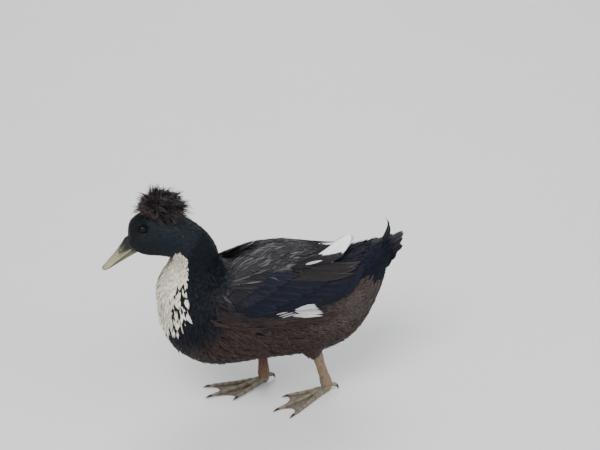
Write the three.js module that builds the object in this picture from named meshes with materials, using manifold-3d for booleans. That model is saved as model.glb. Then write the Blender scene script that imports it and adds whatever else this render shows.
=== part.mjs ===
// A crested duck, life size, standing in mid-step with its head turned a little to its right.
// Millimetres, +Z up. The duck faces -X, so its left side is at -Y, and the ground is z = 0.
import * as THREE from "three";
import { mergeVertices } from "three/addons/utils/BufferGeometryUtils.js";
import Module from "manifold-3d";

const wasm = await Module();
wasm.setup();

const GAP = 0.32; // between pieces that meet
const LEFT = -1; // a side is the sign of its y
const RIGHT = 1;

// The body's outline as stations from the face to the tail, each a slanted section:
// [back x, back z, underside x, underside z, half width].
const STATIONS = [
  [-230, 272, -221, 249, 11.5],
  [-226, 288, -213, 244.5, 18],
  [-213, 299, -202, 242, 22.5],
  [-195, 304, -187, 241, 25],
  [-171, 300, -175, 239, 26.5],
  [-147, 286, -171, 235, 27.5],
  [-127, 268, -174, 229, 30],
  [-115, 248, -183, 214, 34],
  [-111, 230, -192.5, 195, 40],
  [-104, 217, -193, 167, 48],
  [-88, 217, -189, 134, 58],
  [-64, 223, -174, 102, 65],
  [-36, 227, -134, 77, 70],
  [0, 221, -66, 73, 72],
  [36, 210, 6, 69, 70.5],
  [66, 203, 51, 74, 62],
  [89, 203, 82, 93, 49],
  [107, 206, 102, 121, 36],
  [121, 209, 116, 151, 25],
];
const LAST = STATIONS.length - 1;
const ROUNDNESS = 2.15; // exponent of the sections, 2 is an ellipse
const HEAD_NECK = 5.4; // stations where the body is parted
const NECK_TORSO = 9.4;
const TORSO_TAIL = 16.5;

const HEAD_TURN = THREE.MathUtils.degToRad(18);
const TURN_PIVOT_X = -148; // the upright axis of the turn
const TURN_FULL = 5; // stations between which the turn fades out down the neck
const TURN_NONE = 10;

const EYE_RADIUS = 5.4;
const EYE_STATION = 2.1;
const EYE_ANGLE = 56; // from the crown down to either side
const EYE_SUNK = 3.3; // of its centre, under the skin
const LID_RADIUS = 4.9;
const LID_THICK = 1.2;

const BILL_LENGTH = 51.5;
const BILL_ROOT = new THREE.Vector3(-224, 0, 250.3);
const BILL_DROP = THREE.MathUtils.degToRad(37.5);
const BILL_HALF_WIDTH = 9.2;
const BILL_FLARE = 1.9; // how much wider the spoon is on either side
const LOWER_SHARE = 0.86; // the lower bill's width over the upper one's

const CREST_CENTRE = new THREE.Vector3(-184, 0, 304);
const CREST_REACH = new THREE.Vector3(37, 30, 31);

const { lerp, smoothstep, degToRad, seededRandom } = THREE.MathUtils;
seededRandom(21);
const vary = (amount) => amount * (2 * seededRandom() - 1);

// Curves through the stations' back points, underside points and half widths.
const curveOf = (points) => new THREE.CatmullRomCurve3(points, false, "catmullrom", 0.5);
const backCurve = curveOf(STATIONS.map(([x, z]) => new THREE.Vector3(x, 0, z)));
const keelCurve = curveOf(STATIONS.map(([, , x, z]) => new THREE.Vector3(x, 0, z)));
const widthCurve = curveOf(STATIONS.map((row) => new THREE.Vector3(row[4], 0, 0)));

// How far the head's turn has reached at a station, 1 on the head and 0 on the body.
const turnShare = (station) => 1 - smoothstep(station, TURN_FULL, TURN_NONE);

// A point or direction of the straight duck, turned with the head.
function turned(point, share = 1, isDirection = false) {
  const pivot = new THREE.Vector3(isDirection ? 0 : TURN_PIVOT_X, 0, 0);
  const axis = new THREE.Vector3(0, 0, 1);
  return point.clone().sub(pivot).applyAxisAngle(axis, -HEAD_TURN * share).add(pivot);
}

// The section at a station: its centre, the unit vectors up its slant and to its side, and half sizes.
function sectionAt(station) {
  const u = THREE.MathUtils.clamp(station / LAST, 0, 1);
  const back = backCurve.getPoint(u);
  const keel = keelCurve.getPoint(u);
  const share = turnShare(station);
  return {
    centre: turned(back.clone().add(keel).multiplyScalar(0.5), share),
    up: turned(back.clone().sub(keel).normalize(), share, true),
    side: turned(new THREE.Vector3(0, 1, 0), share, true),
    half: back.distanceTo(keel) / 2,
    width: widthCurve.getPoint(u).x,
  };
}

const bulged = (x) => Math.sign(x) * Math.abs(x) ** (2 / ROUNDNESS);

// A point of the body's surface: the angle is 0 on the back, 90 degrees on the right side (+Y),
// -90 on the left and 180 below; lift stands it off the surface.
function skin(station, degrees, lift = 0) {
  const { centre, up, side, half, width } = sectionAt(station);
  const angle = degToRad(degrees);
  return centre
    .clone()
    .addScaledVector(up, (half + lift) * bulged(Math.cos(angle)))
    .addScaledVector(side, (width + lift) * bulged(Math.sin(angle)));
}

// A closed geometry from rings of points. Each side of a ring is split along one diagonal, forward
// from its first corner where forward[i] is true. A tip point closes the last ring.
function lofted(rings, { forward = [], tip = null } = {}) {
  const sides = rings[0].length;
  const points = rings.flat().concat(tip ? [tip] : []);
  const faces = [];
  for (let r = 0; r + 1 < rings.length; r += 1) {
    for (let i = 0; i < sides; i += 1) {
      const a = r * sides + i;
      const b = r * sides + ((i + 1) % sides);
      const [c, d] = [b + sides, a + sides];
      if (forward[i] ?? true) faces.push([a, b, c], [a, c, d]);
      else faces.push([a, b, d], [b, c, d]);
    }
  }
  const last = (rings.length - 1) * sides;
  for (let i = 1; i + 1 < sides; i += 1) {
    faces.push([0, i + 1, i]);
    if (!tip) faces.push([last, last + i, last + i + 1]);
  }
  if (tip) {
    for (let i = 0; i < sides; i += 1) faces.push([last + i, last + ((i + 1) % sides), points.length - 1]);
  }
  return new THREE.BufferGeometry()
    .setAttribute("position", new THREE.Float32BufferAttribute(points.flatMap((p) => p.toArray()), 3))
    .setIndex(faces.flat());
}

// A three.js geometry as a solid, turned so that its faces point out.
function solidOf(geometry) {
  const bare = new THREE.BufferGeometry().setAttribute("position", geometry.getAttribute("position"));
  const merged = mergeVertices(bare.setIndex(geometry.index), 1e-3);
  const vertProperties = new Float32Array(merged.attributes.position.array);
  const triVerts = new Uint32Array(merged.index.array);
  const solid = new wasm.Manifold(new wasm.Mesh({ numProp: 3, vertProperties, triVerts }));
  if (solid.volume() > 0) return solid;
  return new wasm.Manifold(new wasm.Mesh({ numProp: 3, vertProperties, triVerts: triVerts.reverse() }));
}

// The largest closed surface of a solid, as a three.js geometry.
function geometryOf(solid) {
  const [largest] = solid.decompose().sort((a, b) => b.volume() - a.volume());
  const { vertProperties, triVerts } = largest.getMesh();
  return new THREE.BufferGeometry()
    .setAttribute("position", new THREE.BufferAttribute(new Float32Array(vertProperties), 3))
    .setIndex(new THREE.BufferAttribute(new Uint32Array(triVerts), 1));
}

// A three.js geometry whose every point is moved by a function of the point.
function shaped(geometry, place) {
  const position = geometry.getAttribute("position");
  const point = new THREE.Vector3();
  for (let i = 0; i < position.count; i += 1) {
    const moved = place(point.fromBufferAttribute(position, i).clone());
    position.setXYZ(i, moved.x, moved.y, moved.z);
  }
  return geometry;
}

// A flat closed blade along a path. The path gives, for a share u of the length, the middle point,
// the side-to-side direction and the normal; width and thickness give the sizes there. Both faces
// are split alike, with a low ridge down the middle.
function blade(path, { width, thick, ridge = 0.4, at = [0, 0.45, 0.9], end = 1 }) {
  const rings = at.map((u) => {
    const { centre, across, normal } = path(u);
    const [half, low] = [width(u) / 2, thick(u) / 2];
    const corner = (x, z) => centre.clone().addScaledVector(across, x).addScaledVector(normal, z);
    return [
      corner(half, low),
      corner(0, low + ridge),
      corner(-half, low),
      corner(-half, -low),
      corner(0, -low + ridge * 0.5),
      corner(half, -low),
    ];
  });
  const forward = [true, false, true, false, true, false];
  return solidOf(lofted(rings, { forward, tip: path(end).centre }));
}

// A path over the body's surface between two spots, each [station, degrees, lift]. The surface's
// own normal carries the blade's face, turned about the path by the tilt.
function overSkin([station0, degrees0, lift0], [station1, degrees1, lift1], tilt = 0) {
  const spot = (u, extra = 0) =>
    skin(lerp(station0, station1, u), lerp(degrees0, degrees1, u), lerp(lift0, lift1, u) + extra);
  return (u) => {
    const centre = spot(u);
    const along = spot(u + 0.02).sub(spot(u - 0.02)).normalize();
    const normal = spot(u, 1).sub(centre);
    normal.addScaledVector(along, -normal.dot(along)).normalize();
    const across = normal.clone().cross(along);
    normal.applyAxisAngle(along, tilt);
    across.applyAxisAngle(along, tilt);
    return { centre, across, normal };
  };
}

const joined = (solids) => solids.reduce((whole, piece) => whole.add(piece));

// What is left of a solid on the side of a plane that the normal points to.
const keptAbove = (solid, point, normal) => solid.trimByPlane(normal.toArray(), point.dot(normal));

// Evenly spaced numbers from one to another.
const spaced = (from, to, steps) =>
  Array.from({ length: steps + 1 }, (_, i) => lerp(from, to, i / steps));

// Evenly spaced degrees once around.
const aroundBy = (corners) => spaced(0, 360, corners).slice(0, -1);

// One length of the body through the sections at some stations, with flat ends or a last tip.
function bodyLength(stations, { lift = 0, tip = null } = {}) {
  const around = (station) => aroundBy(AROUND).map((degrees) => skin(station, degrees, lift));
  return solidOf(lofted(stations.map(around), { tip }));
}

// Head, neck, torso and tail root

const AROUND = 24; // corners of every section
const NOSE = new THREE.Vector3(-231, 0, 258); // the face's foremost point, behind the bill

const TAIL_RINGS = spaced(LAST, TORSO_TAIL, 4);
const TORSO_RINGS = spaced(TORSO_TAIL, NECK_TORSO, 16);
const NECK_RINGS = spaced(NECK_TORSO, HEAD_NECK, 8);
const HEAD_RINGS = spaced(HEAD_NECK, 0, 12);

// What no other piece may enter: the whole body a gap larger.
const KEEP_OFF = 0.45;
const keepOut = bodyLength(
  [...TAIL_RINGS, ...TORSO_RINGS.slice(1), ...NECK_RINGS.slice(1), ...HEAD_RINGS.slice(1)],
  { lift: KEEP_OFF, tip: turned(NOSE.clone().add(new THREE.Vector3(-KEEP_OFF, 0, 0))) },
);

// A solid's part on the tail's side of the section at a station, a gap behind it.
function behind(solid, station) {
  const { centre, up, side } = sectionAt(station);
  const rearward = side.clone().cross(up).normalize();
  return keptAbove(solid, centre.clone().addScaledVector(rearward, GAP), rearward);
}

const eyeSpot = (side, lift) => skin(EYE_STATION, side * EYE_ANGLE, lift);

function eyeBall(side, radius) {
  return solidOf(new THREE.SphereGeometry(radius, 12, 8).translate(...eyeSpot(side, -EYE_SUNK)));
}

// The rim of the eyelids, a ring around the eye that lies on the skin.
function eyelids(side) {
  const outward = eyeSpot(side, 1).sub(eyeSpot(side, 0)).normalize();
  const facing = new THREE.Quaternion().setFromUnitVectors(new THREE.Vector3(0, 0, 1), outward);
  const ring = new THREE.TorusGeometry(LID_RADIUS, LID_THICK, 5, 12).scale(1.12, 0.94, 1);
  return solidOf(ring.applyQuaternion(facing).translate(...eyeSpot(side, -0.3)));
}

const headSolid = bodyLength(HEAD_RINGS, { tip: turned(NOSE) })
  .add(eyelids(LEFT))
  .add(eyelids(RIGHT))
  .subtract(eyeBall(LEFT, EYE_RADIUS + GAP))
  .subtract(eyeBall(RIGHT, EYE_RADIUS + GAP));
const neckSolid = behind(bodyLength(NECK_RINGS), HEAD_NECK);
const torsoSolid = behind(bodyLength(TORSO_RINGS), NECK_TORSO);

// Bill

// A point of the bill: along its length, across to the side and up, each in millimetres.
function billPoint(along, across, up) {
  const forward = new THREE.Vector3(-Math.cos(BILL_DROP), 0, -Math.sin(BILL_DROP));
  const rise = new THREE.Vector3(-Math.sin(BILL_DROP), 0, Math.cos(BILL_DROP));
  const point = BILL_ROOT.clone().addScaledVector(forward, along).addScaledVector(rise, up);
  point.y += across;
  return turned(point);
}

// Half width of the bill: narrow behind the nostrils, wide and round at the tip.
function billHalfWidth(u) {
  const straight = BILL_HALF_WIDTH + BILL_FLARE * smoothstep(u, 0.35, 0.8);
  return straight * Math.sqrt(1 - Math.max(0, (u - 0.72) / 0.285) ** 2);
}

// Height of the upper bill over the mouth line: high at the forehead, sloping to a flat tip.
const culmenHeight = (u) => 11 * (1 - u) ** 2 + 4.9 * (1 - u ** 3) + 1.3;

const mouthGap = GAP / 2;

// One half of the bill, from the mouth line up by height, or down where height is negative.
function billHalf(height, halfWidth, start) {
  const rings = spaced(start, 1, 12).map((u) =>
    spaced(0, Math.PI, 8).map((angle) =>
      billPoint(u * BILL_LENGTH, halfWidth(u) * Math.cos(angle), height(u) * Math.sin(angle) ** 0.8),
    ),
  );
  return solidOf(lofted(rings));
}

// An oval ball in the bill's own directions, at a middle and with half sizes along, across and up.
function billBall(middle, halves, around, rows) {
  const at = (spot, i) => middle[i] + halves[i] * spot;
  const place = ({ x, y, z }) => billPoint(at(x, 0), at(y, 1), at(z, 2));
  return solidOf(shaped(new THREE.SphereGeometry(1, around, rows), place));
}

// An oval nostril on either side of the upper bill, near its root.
const nostrils = joined([LEFT, RIGHT].map((side) => billBall([15, side * 7, 7.6], [3.4, 2.6, 1.2], 8, 6)));

// The nail, a low hooked plate at the tip.
const nail = billBall([BILL_LENGTH - 4, 0, 1.4], [4.6, 4, 1.4], 10, 6);

const upperBill = billHalf((u) => mouthGap + culmenHeight(u), billHalfWidth, -0.16)
  .add(nail)
  .subtract(nostrils);
const lowerBill = billHalf(
  (u) => -mouthGap - 8 * (1 - 0.74 * u),
  (u) => LOWER_SHARE * billHalfWidth(u),
  -0.1,
);

// Crest

const CREST_LOCKS = 36;
const CREST_DOWN = degToRad(14); // how far under level the outer locks end
const GOLDEN_ANGLE = Math.PI * (3 - Math.sqrt(5));
const LOCK_WIDTH = 15;
const LOCK_THICK = 0.9;
const LOCK_SWING = 7; // how far a lock's middle leaves the straight line, sideways
const LOCK_ARCH = 6; // and upwards
const CORE_REACH = 0.46; // the core's share of the way to the tips

// One flat tapered lock of four corners a ring, bent from its root over to its tip.
function lock(root, bend, tip, { width, twist }) {
  const line = new THREE.QuadraticBezierCurve3(root, bend, tip);
  const rings = [0, 0.4, 0.75].map((u) => {
    const along = line.getTangent(u);
    const across = new THREE.Vector3(Math.cos(twist), Math.sin(twist), 0);
    across.addScaledVector(along, -across.dot(along)).normalize();
    const normal = along.clone().cross(across);
    const [half, low] = [(width / 2) * (1 - 0.55 * u * u), LOCK_THICK / 2];
    return [[half, low], [-half, low], [-half, -low], [half, -low]].map(([x, z]) =>
      line.getPoint(u).addScaledVector(across, x).addScaledVector(normal, z),
    );
  });
  return solidOf(lofted(rings, { forward: [true, false, true, false], tip }));
}

// A spot of the crest's outline in a direction, or a share of the way to it.
const crestSpot = (out, share) =>
  out.clone().multiply(CREST_REACH).multiplyScalar(share).add(CREST_CENTRE);

// Locks spread evenly over the crest, each from its own spot on the crown.
const locks = spaced(0.5, CREST_LOCKS - 0.5, CREST_LOCKS - 1).map((i) => {
  const polar = Math.acos(1 - (i / CREST_LOCKS) * (1 + Math.sin(CREST_DOWN)));
  const turn = i * GOLDEN_ANGLE + vary(0.2);
  const out = new THREE.Vector3().setFromSphericalCoords(1, polar, turn).applyAxisAngle(
    new THREE.Vector3(1, 0, 0),
    Math.PI / 2,
  );
  const aside = new THREE.Vector3(-out.y, out.x, 0).normalize();
  const root = crestSpot(out, 0.26).add(new THREE.Vector3(0, 0, 2));
  const bend = crestSpot(out, 0.66)
    .addScaledVector(aside, LOCK_SWING + vary(4))
    .add(new THREE.Vector3(vary(3), vary(3), LOCK_ARCH + vary(3)));
  const tip = crestSpot(out, 0.96 + vary(0.06));
  const twist = Math.atan2(aside.y, aside.x) + vary(0.4);
  return lock(turned(root), turned(bend), turned(tip), { width: LOCK_WIDTH + vary(2), twist });
});
const crestCore = solidOf(
  shaped(new THREE.SphereGeometry(1, 12, 8), (out) =>
    turned(crestSpot(out, CORE_REACH).add(new THREE.Vector3(0, 0, -3))),
  ),
);
const crestSolid = joined([crestCore, ...locks]).subtract(keepOut);

// Tail

// The root of the tail's feathers, flattened: [x, z, half width, half height] down its middle.
const TAIL_CORE = [[100, 178, 32, 29], [118, 188, 29, 17], [133, 198, 19, 6]];
const TAIL_ROOT = new THREE.Vector3(100, 0, 189);
const TAIL_RISE = degToRad(29);
const TAIL_HALF_FAN = degToRad(19);
const TAIL_LENGTH = 61;
const TAIL_VANES = 10;
const TAIL_VANE_WIDTH = 16;

function tailCore(lift) {
  const rings = TAIL_CORE.map(([x, z, width, height]) =>
    aroundBy(18).map((degrees) => {
      const rise = (height + lift) * Math.cos(degToRad(degrees));
      const across = (width + lift) * Math.sin(degToRad(degrees));
      return new THREE.Vector3(x - 0.45 * rise, across, z + 0.9 * rise);
    }),
  );
  return solidOf(lofted(rings));
}

// A path of the tail's fan: share is -1 at the left edge and 1 at the right, drop sets it under
// the middle plane of the fan, and length is the middle vane's.
function tailPath(share, { length, drop, roof = 9 }) {
  const turn = share * TAIL_HALF_FAN;
  const reach = length * (1 - 0.3 * share * share);
  const rise = TAIL_RISE - 0.1 * share * share;
  const along = new THREE.Vector3(
    Math.cos(turn) * Math.cos(rise),
    Math.sin(turn) * Math.cos(rise),
    Math.sin(rise),
  );
  const normal = new THREE.Vector3(-Math.sin(rise), 0.42 * share, Math.cos(rise));
  normal.addScaledVector(along, -normal.dot(along)).normalize();
  const across = normal.clone().cross(along);
  const root = TAIL_ROOT.clone().add(new THREE.Vector3(0, 11 * share, -drop - roof * share * share));
  return (u) => ({
    centre: root.clone().addScaledVector(along, reach * u).addScaledVector(normal, -3 * u * u),
    across,
    normal,
  });
}

const tailVaneShare = (u) =>
  u < 0.5 ? lerp(0.7, 1, 2 * u) : Math.sqrt(1 - 0.7 * smoothstep(u, 0.5, 1));
const tailVanes = spaced(-1, 1, TAIL_VANES - 1).map((share) =>
  blade(tailPath(share, { length: TAIL_LENGTH, drop: 5.6 * Math.abs(share) }), {
    width: (u) => TAIL_VANE_WIDTH * tailVaneShare(u),
    thick: (u) => lerp(1.1, 0.6, u),
  }),
);

// Coverts over and under the tail's root.
const UNDER_TAIL_WIDTH = 19;
const covertShare = (u) => Math.sqrt(1 - 0.75 * u ** 3);
const overTail = spaced(-1, 1, 5).map((share) =>
  blade(tailPath(share * 0.8, { length: 42, drop: -7.5 + 3 * Math.abs(share) }), {
    width: (u) => TAIL_VANE_WIDTH * covertShare(u),
    thick: () => 1,
  }),
);
const underTail = [-1, -0.35, 0.35, 1].map((share) =>
  blade(tailPath(share * 0.7, { length: 47 - 8 * Math.abs(share), drop: 17, roof: 4 }), {
    width: (u) => UNDER_TAIL_WIDTH * covertShare(u),
    thick: () => 1.4,
  }),
);

// The drake's curled feathers, standing up from the tail's root and rolled forward at the tip.
const CURL_BASE = new THREE.Vector3(120, -2, 206);
const CURL_SIZE = 30;
const curls = [-1, 1].map((share) => {
  const size = CURL_SIZE + 2 * share;
  const path = (u) => {
    const swing = lerp(0.5, 2.0, u ** 1.4);
    const along = new THREE.Vector3(Math.cos(swing), 0, Math.sin(swing));
    const across = new THREE.Vector3(0, 1, 0);
    const rearward = size * (0.62 * u - 0.46 * u ** 3);
    const upward = size * (1.12 * u - 0.12 * u * u);
    const centre = CURL_BASE.clone().add(new THREE.Vector3(rearward, share * (2 + 1.5 * u), upward));
    return { centre, across, normal: along.clone().cross(across) };
  };
  return blade(path, { width: (u) => lerp(7, 4, u), thick: () => 1, at: [0, 0.3, 0.6, 0.85] });
});

const tailSolid = behind(
  joined([bodyLength(TAIL_RINGS), tailCore(0), ...tailVanes, ...overTail, ...underTail, ...curls]),
  TORSO_TAIL,
);

// Wings

// Each tier of a wing: how many vanes, where the first and the last are rooted and end as
// [station, degrees from the back], their lift off the skin at root and tip, and their width.
const WING_TIERS = [
  [4, [[13.0, 72], [13.4, 52]], [[15.1, 54], [16.1, 32]], [1.2, 2.4], 17],
  [6, [[11.2, 81], [12.9, 48]], [[12.8, 80], [15.0, 46]], [1.6, 3.6], 19],
  [6, [[10.6, 75], [12.1, 42]], [[11.9, 80], [13.9, 47]], [2.2, 4.8], 18],
  [4, [[10.2, 64], [11.2, 36]], [[11.2, 73], [12.8, 42]], [2.4, 5.6], 18],
  [3, [[12.4, 41], [12.8, 27]], [[15.3, 39], [16.0, 27]], [2.8, 5.2], 18],
  [4, [[10.3, 44], [11.4, 22]], [[12.3, 42], [14.2, 25]], [3.0, 6.4], 16],
];
const VANE_THICK = 0.9;

// Width of a vane along its length: narrow at the root, full past the middle, blunt at the tip.
const vaneShare = (u) =>
  u < 0.3 ? lerp(0.62, 1, u / 0.3) : Math.sqrt(1 - 0.62 * smoothstep(u, 0.6, 1));
const vaneThick = (u) => VANE_THICK * lerp(1.15, 0.62, u);
const VANE_TILT = 0.06; // each vane's outer edge lies over the next one
const VANE_STAGGER = 0.35; // every other vane lies higher

function wingVanes(side) {
  return WING_TIERS.flatMap(([count, roots, tips, lift, width]) =>
    spaced(0, 1, count - 1).map((v, i) => {
      const spot = ([first, last], height) => [
        lerp(first[0], last[0], v),
        side * lerp(first[1], last[1], v),
        height + VANE_STAGGER * (i % 2),
      ];
      const path = overSkin(spot(roots, lift[0]), spot(tips, lift[1]), VANE_TILT * side);
      return blade(path, { width: (u) => width * vaneShare(u), thick: vaneThick });
    }),
  );
}

// The folded arm under the vanes: a low pad on the body's side.
const PAD_SWELL = 3.8;
const PAD_SUNK = 3;
function wingPad(side) {
  const rings = spaced(0, 1, 8).map((u) => {
    const station = lerp(10, 13.9, u);
    const top = lerp(30, 24, u);
    const low = lerp(72, 66, u) + 10 * Math.sin(Math.PI * u);
    const lengthwise = Math.sin(Math.PI * lerp(0.1, 0.9, u)) ** 0.6;
    const swell = (v) => lengthwise * Math.sin(Math.PI * lerp(0.06, 0.94, v)) ** 0.6;
    const spot = (v, lift) => skin(station, side * lerp(top, low, v), lift);
    const outer = spaced(0, 1, 6).map((v) => spot(v, 0.6 + PAD_SWELL * swell(v)));
    const inner = [0.85, 0.5, 0.15].map((v) => spot(v, -PAD_SUNK));
    return outer.concat(inner);
  });
  return solidOf(lofted(rings));
}

// The white feather that lies loose across the rump, rooted in the left wing.
const LOOSE_WIDTH = 15;
const looseVane = blade(overSkin([13.2, -30, 3], [15.75, 18, 14]), {
  width: (u) => LOOSE_WIDTH * (u < 0.3 ? lerp(0.7, 1, u / 0.3) : Math.sqrt(1 - 0.35 * u ** 4)),
  thick: vaneThick,
  at: [0, 0.35, 0.68, 0.93],
});

function wingSolid(side) {
  const extra = side === LEFT ? [looseVane] : [];
  const whole = joined([wingPad(side), ...wingVanes(side), ...extra]);
  return whole.subtract(keepOut).subtract(tailCore(KEEP_OFF));
}

// Legs

const SHANK_TOP = { [LEFT]: new THREE.Vector3(17, -36, 68), [RIGHT]: new THREE.Vector3(-40, 34, 72) };
const ANKLE = { [LEFT]: new THREE.Vector3(34, -26, 13.5), [RIGHT]: new THREE.Vector3(-40, 26, 13.5) };
const HIP = { [LEFT]: new THREE.Vector3(8, -40, 118), [RIGHT]: new THREE.Vector3(-26, 40, 118) };
const FOOT_TURN = { [LEFT]: degToRad(16), [RIGHT]: degToRad(8) }; // towards -Y

// A round limb along points with [fore-aft, sideways] half sizes at each.
function limb(points, halves, { steps = 8, sides = 10 } = {}) {
  const line = curveOf(points);
  const sizes = curveOf(halves.map(([a, b]) => new THREE.Vector3(a, b, 0)));
  const rings = Array.from({ length: steps + 1 }, (_, r) => {
    const centre = line.getPoint(r / steps);
    const size = sizes.getPoint(r / steps);
    const tangent = line.getTangent(r / steps);
    const across = new THREE.Vector3(0, 1, 0).addScaledVector(tangent, -tangent.y).normalize();
    const fore = across.clone().cross(tangent).normalize();
    return Array.from({ length: sides }, (_, i) => {
      const angle = (2 * Math.PI * i) / sides;
      return centre
        .clone()
        .addScaledVector(fore, size.x * Math.cos(angle))
        .addScaledVector(across, size.y * Math.sin(angle));
    });
  });
  return solidOf(lofted(rings));
}

// The direction down a shank.
const downShank = (side) => ANKLE[side].clone().sub(SHANK_TOP[side]).normalize();

function thighSolid(side) {
  const [hip, knee] = [HIP[side], SHANK_TOP[side]];
  const middle = hip.clone().lerp(knee, 0.55);
  const low = hip.clone().lerp(knee, 0.9);
  const halves = [[34, 22], [27, 20], [15, 12], [8.5, 7.5]];
  const whole = limb([hip, middle, low, knee], halves, { steps: 8, sides: 14 });
  return keptAbove(whole, knee, downShank(side).negate()).subtract(keepOut);
}

function shankSolid(side) {
  const [knee, ankle, down] = [SHANK_TOP[side], ANKLE[side], downShank(side)];
  const top = knee.clone().addScaledVector(down, -2);
  const middle = knee.clone().lerp(ankle, 0.5);
  const above = knee.clone().lerp(ankle, 0.85);
  const whole = limb([top, middle, above, ankle], [[7.4, 6.2], [6, 5], [6.2, 5.2], [7, 6]]);
  const belowKnee = keptAbove(whole, knee.clone().addScaledVector(down, GAP), down);
  return keptAbove(belowKnee, ankle, down.negate()).subtract(keepOut);
}

const TOES = [
  { turn: -21, length: 64 },
  { turn: 0, length: 91 },
  { turn: 18, length: 86 },
];
const CLAW = 11;
const WEB_REACH = 0.86; // of a toe's length
const WEB_THICK = 1.5;

// The point on the ground along a toe, from the ankle.
function toePoint(side, { turn }, distance, height) {
  const angle = FOOT_TURN[side] - side * degToRad(turn);
  return new THREE.Vector3(
    ANKLE[side].x - distance * Math.cos(angle),
    ANKLE[side].y - distance * Math.sin(angle),
    height,
  );
}

function toeSolid(side, toe) {
  const bone = toe.length - CLAW;
  const spot = ([distance, height]) => toePoint(side, toe, distance, height);
  const points = [[0, 6.5], [0.12 * bone, 4.5], [0.5 * bone, 2.7], [0.92 * bone, 2.1], [bone, 1.9]].map(spot);
  const halves = [[4.6, 4.6], [3.9, 3.9], [3.1, 3.1], [2.8, 2.9], [2.2, 2.4]];
  const clawPoints = [[bone + 2, 2.4], [toe.length - 3, 2.3], [toe.length, 0.7]].map(spot);
  return joined([
    limb(points, halves, { steps: 5, sides: 7 }),
    limb(clawPoints, [[1.9, 1.7], [1.3, 1.1], [0.3, 0.3]], { steps: 3, sides: 5 }),
  ]);
}

// The skin between two toes, its front edge drawn in between their tips.
function webSolid(side, first, second) {
  const [a, b] = [first.length * WEB_REACH, second.length * WEB_REACH];
  const outline = new THREE.Shape();
  const flat = (p) => [p.x, p.y];
  const start = toePoint(side, first, 6, 0);
  const middle = { turn: (first.turn + second.turn) / 2 };
  const dip = toePoint(side, middle, 0.66 * Math.min(a, b) + 0.08 * Math.max(a, b), 0);
  outline.moveTo(...flat(start));
  outline.lineTo(...flat(toePoint(side, first, a, 0)));
  outline.quadraticCurveTo(...flat(dip), ...flat(toePoint(side, second, b, 0)));
  outline.closePath();
  const extrusion = { depth: WEB_THICK, bevelEnabled: false, curveSegments: 4 };
  return solidOf(new THREE.ExtrudeGeometry(outline, extrusion));
}

function footSolid(side) {
  const [inner, middle, outer] = TOES;
  const ankle = ANKLE[side];
  const down = downShank(side);
  const joint = new THREE.SphereGeometry(7.2, 12, 8).scale(1, 0.9, 1.1);
  const knuckle = solidOf(joint.translate(ankle.x, ankle.y, 8));
  const from = (x, y, z) => ankle.clone().add(new THREE.Vector3(x, y * side, z));
  const backLine = [from(3, 0, -5), from(11, 2, -5), from(20, 2, -11)];
  const backToe = limb(backLine, [[2.8, 2.8], [2.6, 2.4], [0.5, 0.5]], { steps: 4, sides: 8 });
  const pieces = [
    keptAbove(knuckle, ankle.clone().addScaledVector(down, GAP), down),
    ...TOES.map((toe) => toeSolid(side, toe)),
    webSolid(side, inner, middle),
    webSolid(side, middle, outer),
    backToe,
  ];
  return keptAbove(joined(pieces), new THREE.Vector3(), new THREE.Vector3(0, 0, 1));
}

// The duck, set so that its box stands centred on the origin

const duck = new THREE.Group();

function add(name, solid, color, roughness = 0.8) {
  const material = new THREE.MeshStandardMaterial({ color, roughness, metalness: 0 });
  const mesh = new THREE.Mesh(geometryOf(solid), material);
  mesh.name = name;
  duck.add(mesh);
}

add("head", headSolid, 0x142a2e, 0.6);
add("bill_upper", upperBill.subtract(keepOut), 0xa39c7c, 0.45);
add("bill_lower", lowerBill.subtract(keepOut), 0x8c8462, 0.45);
add("crest", crestSolid, 0x2e2a30);
add("neck", neckSolid, 0x141c2a, 0.6);
add("torso", torsoSolid, 0x2c2529);
add("tail", tailSolid, 0x12182a, 0.5);
for (const [side, name] of [
  [LEFT, "left"],
  [RIGHT, "right"],
]) {
  add(`wing_${name}`, wingSolid(side), 0x262a38, 0.55);
  add(`thigh_${name}`, thighSolid(side), 0x2c2420);
  add(`shank_${name}`, shankSolid(side), 0x8a6a4e, 0.6);
  add(`foot_${name}`, footSolid(side), 0x6e6250, 0.6);
  add(`eye_${name}`, eyeBall(side, EYE_RADIUS), 0x17110d, 0.1);
}

const box = new THREE.Box3().setFromObject(duck);
const middle = box.getCenter(new THREE.Vector3());
duck.position.set(-middle.x, -middle.y, -box.min.z);

export default duck;
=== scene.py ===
"""A crested duck at life size, feathered and standing in mid-step.

The duck's own frame is in millimetres: it faces -X, its left side is at -Y and the ground is z = 0. Every
surface is worked out there with numpy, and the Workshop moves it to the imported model's frame in metres.
Places on the body are given as a station, from 0 at the face to 18 at the tail, and degrees from the back's
middle line, positive to the duck's right.
"""

import logging
from dataclasses import dataclass, field
from enum import Enum
from typing import Any, Callable, ClassVar, Sequence

import bmesh
import bpy
import numpy as np
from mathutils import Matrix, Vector
from numpy.typing import NDArray

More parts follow.
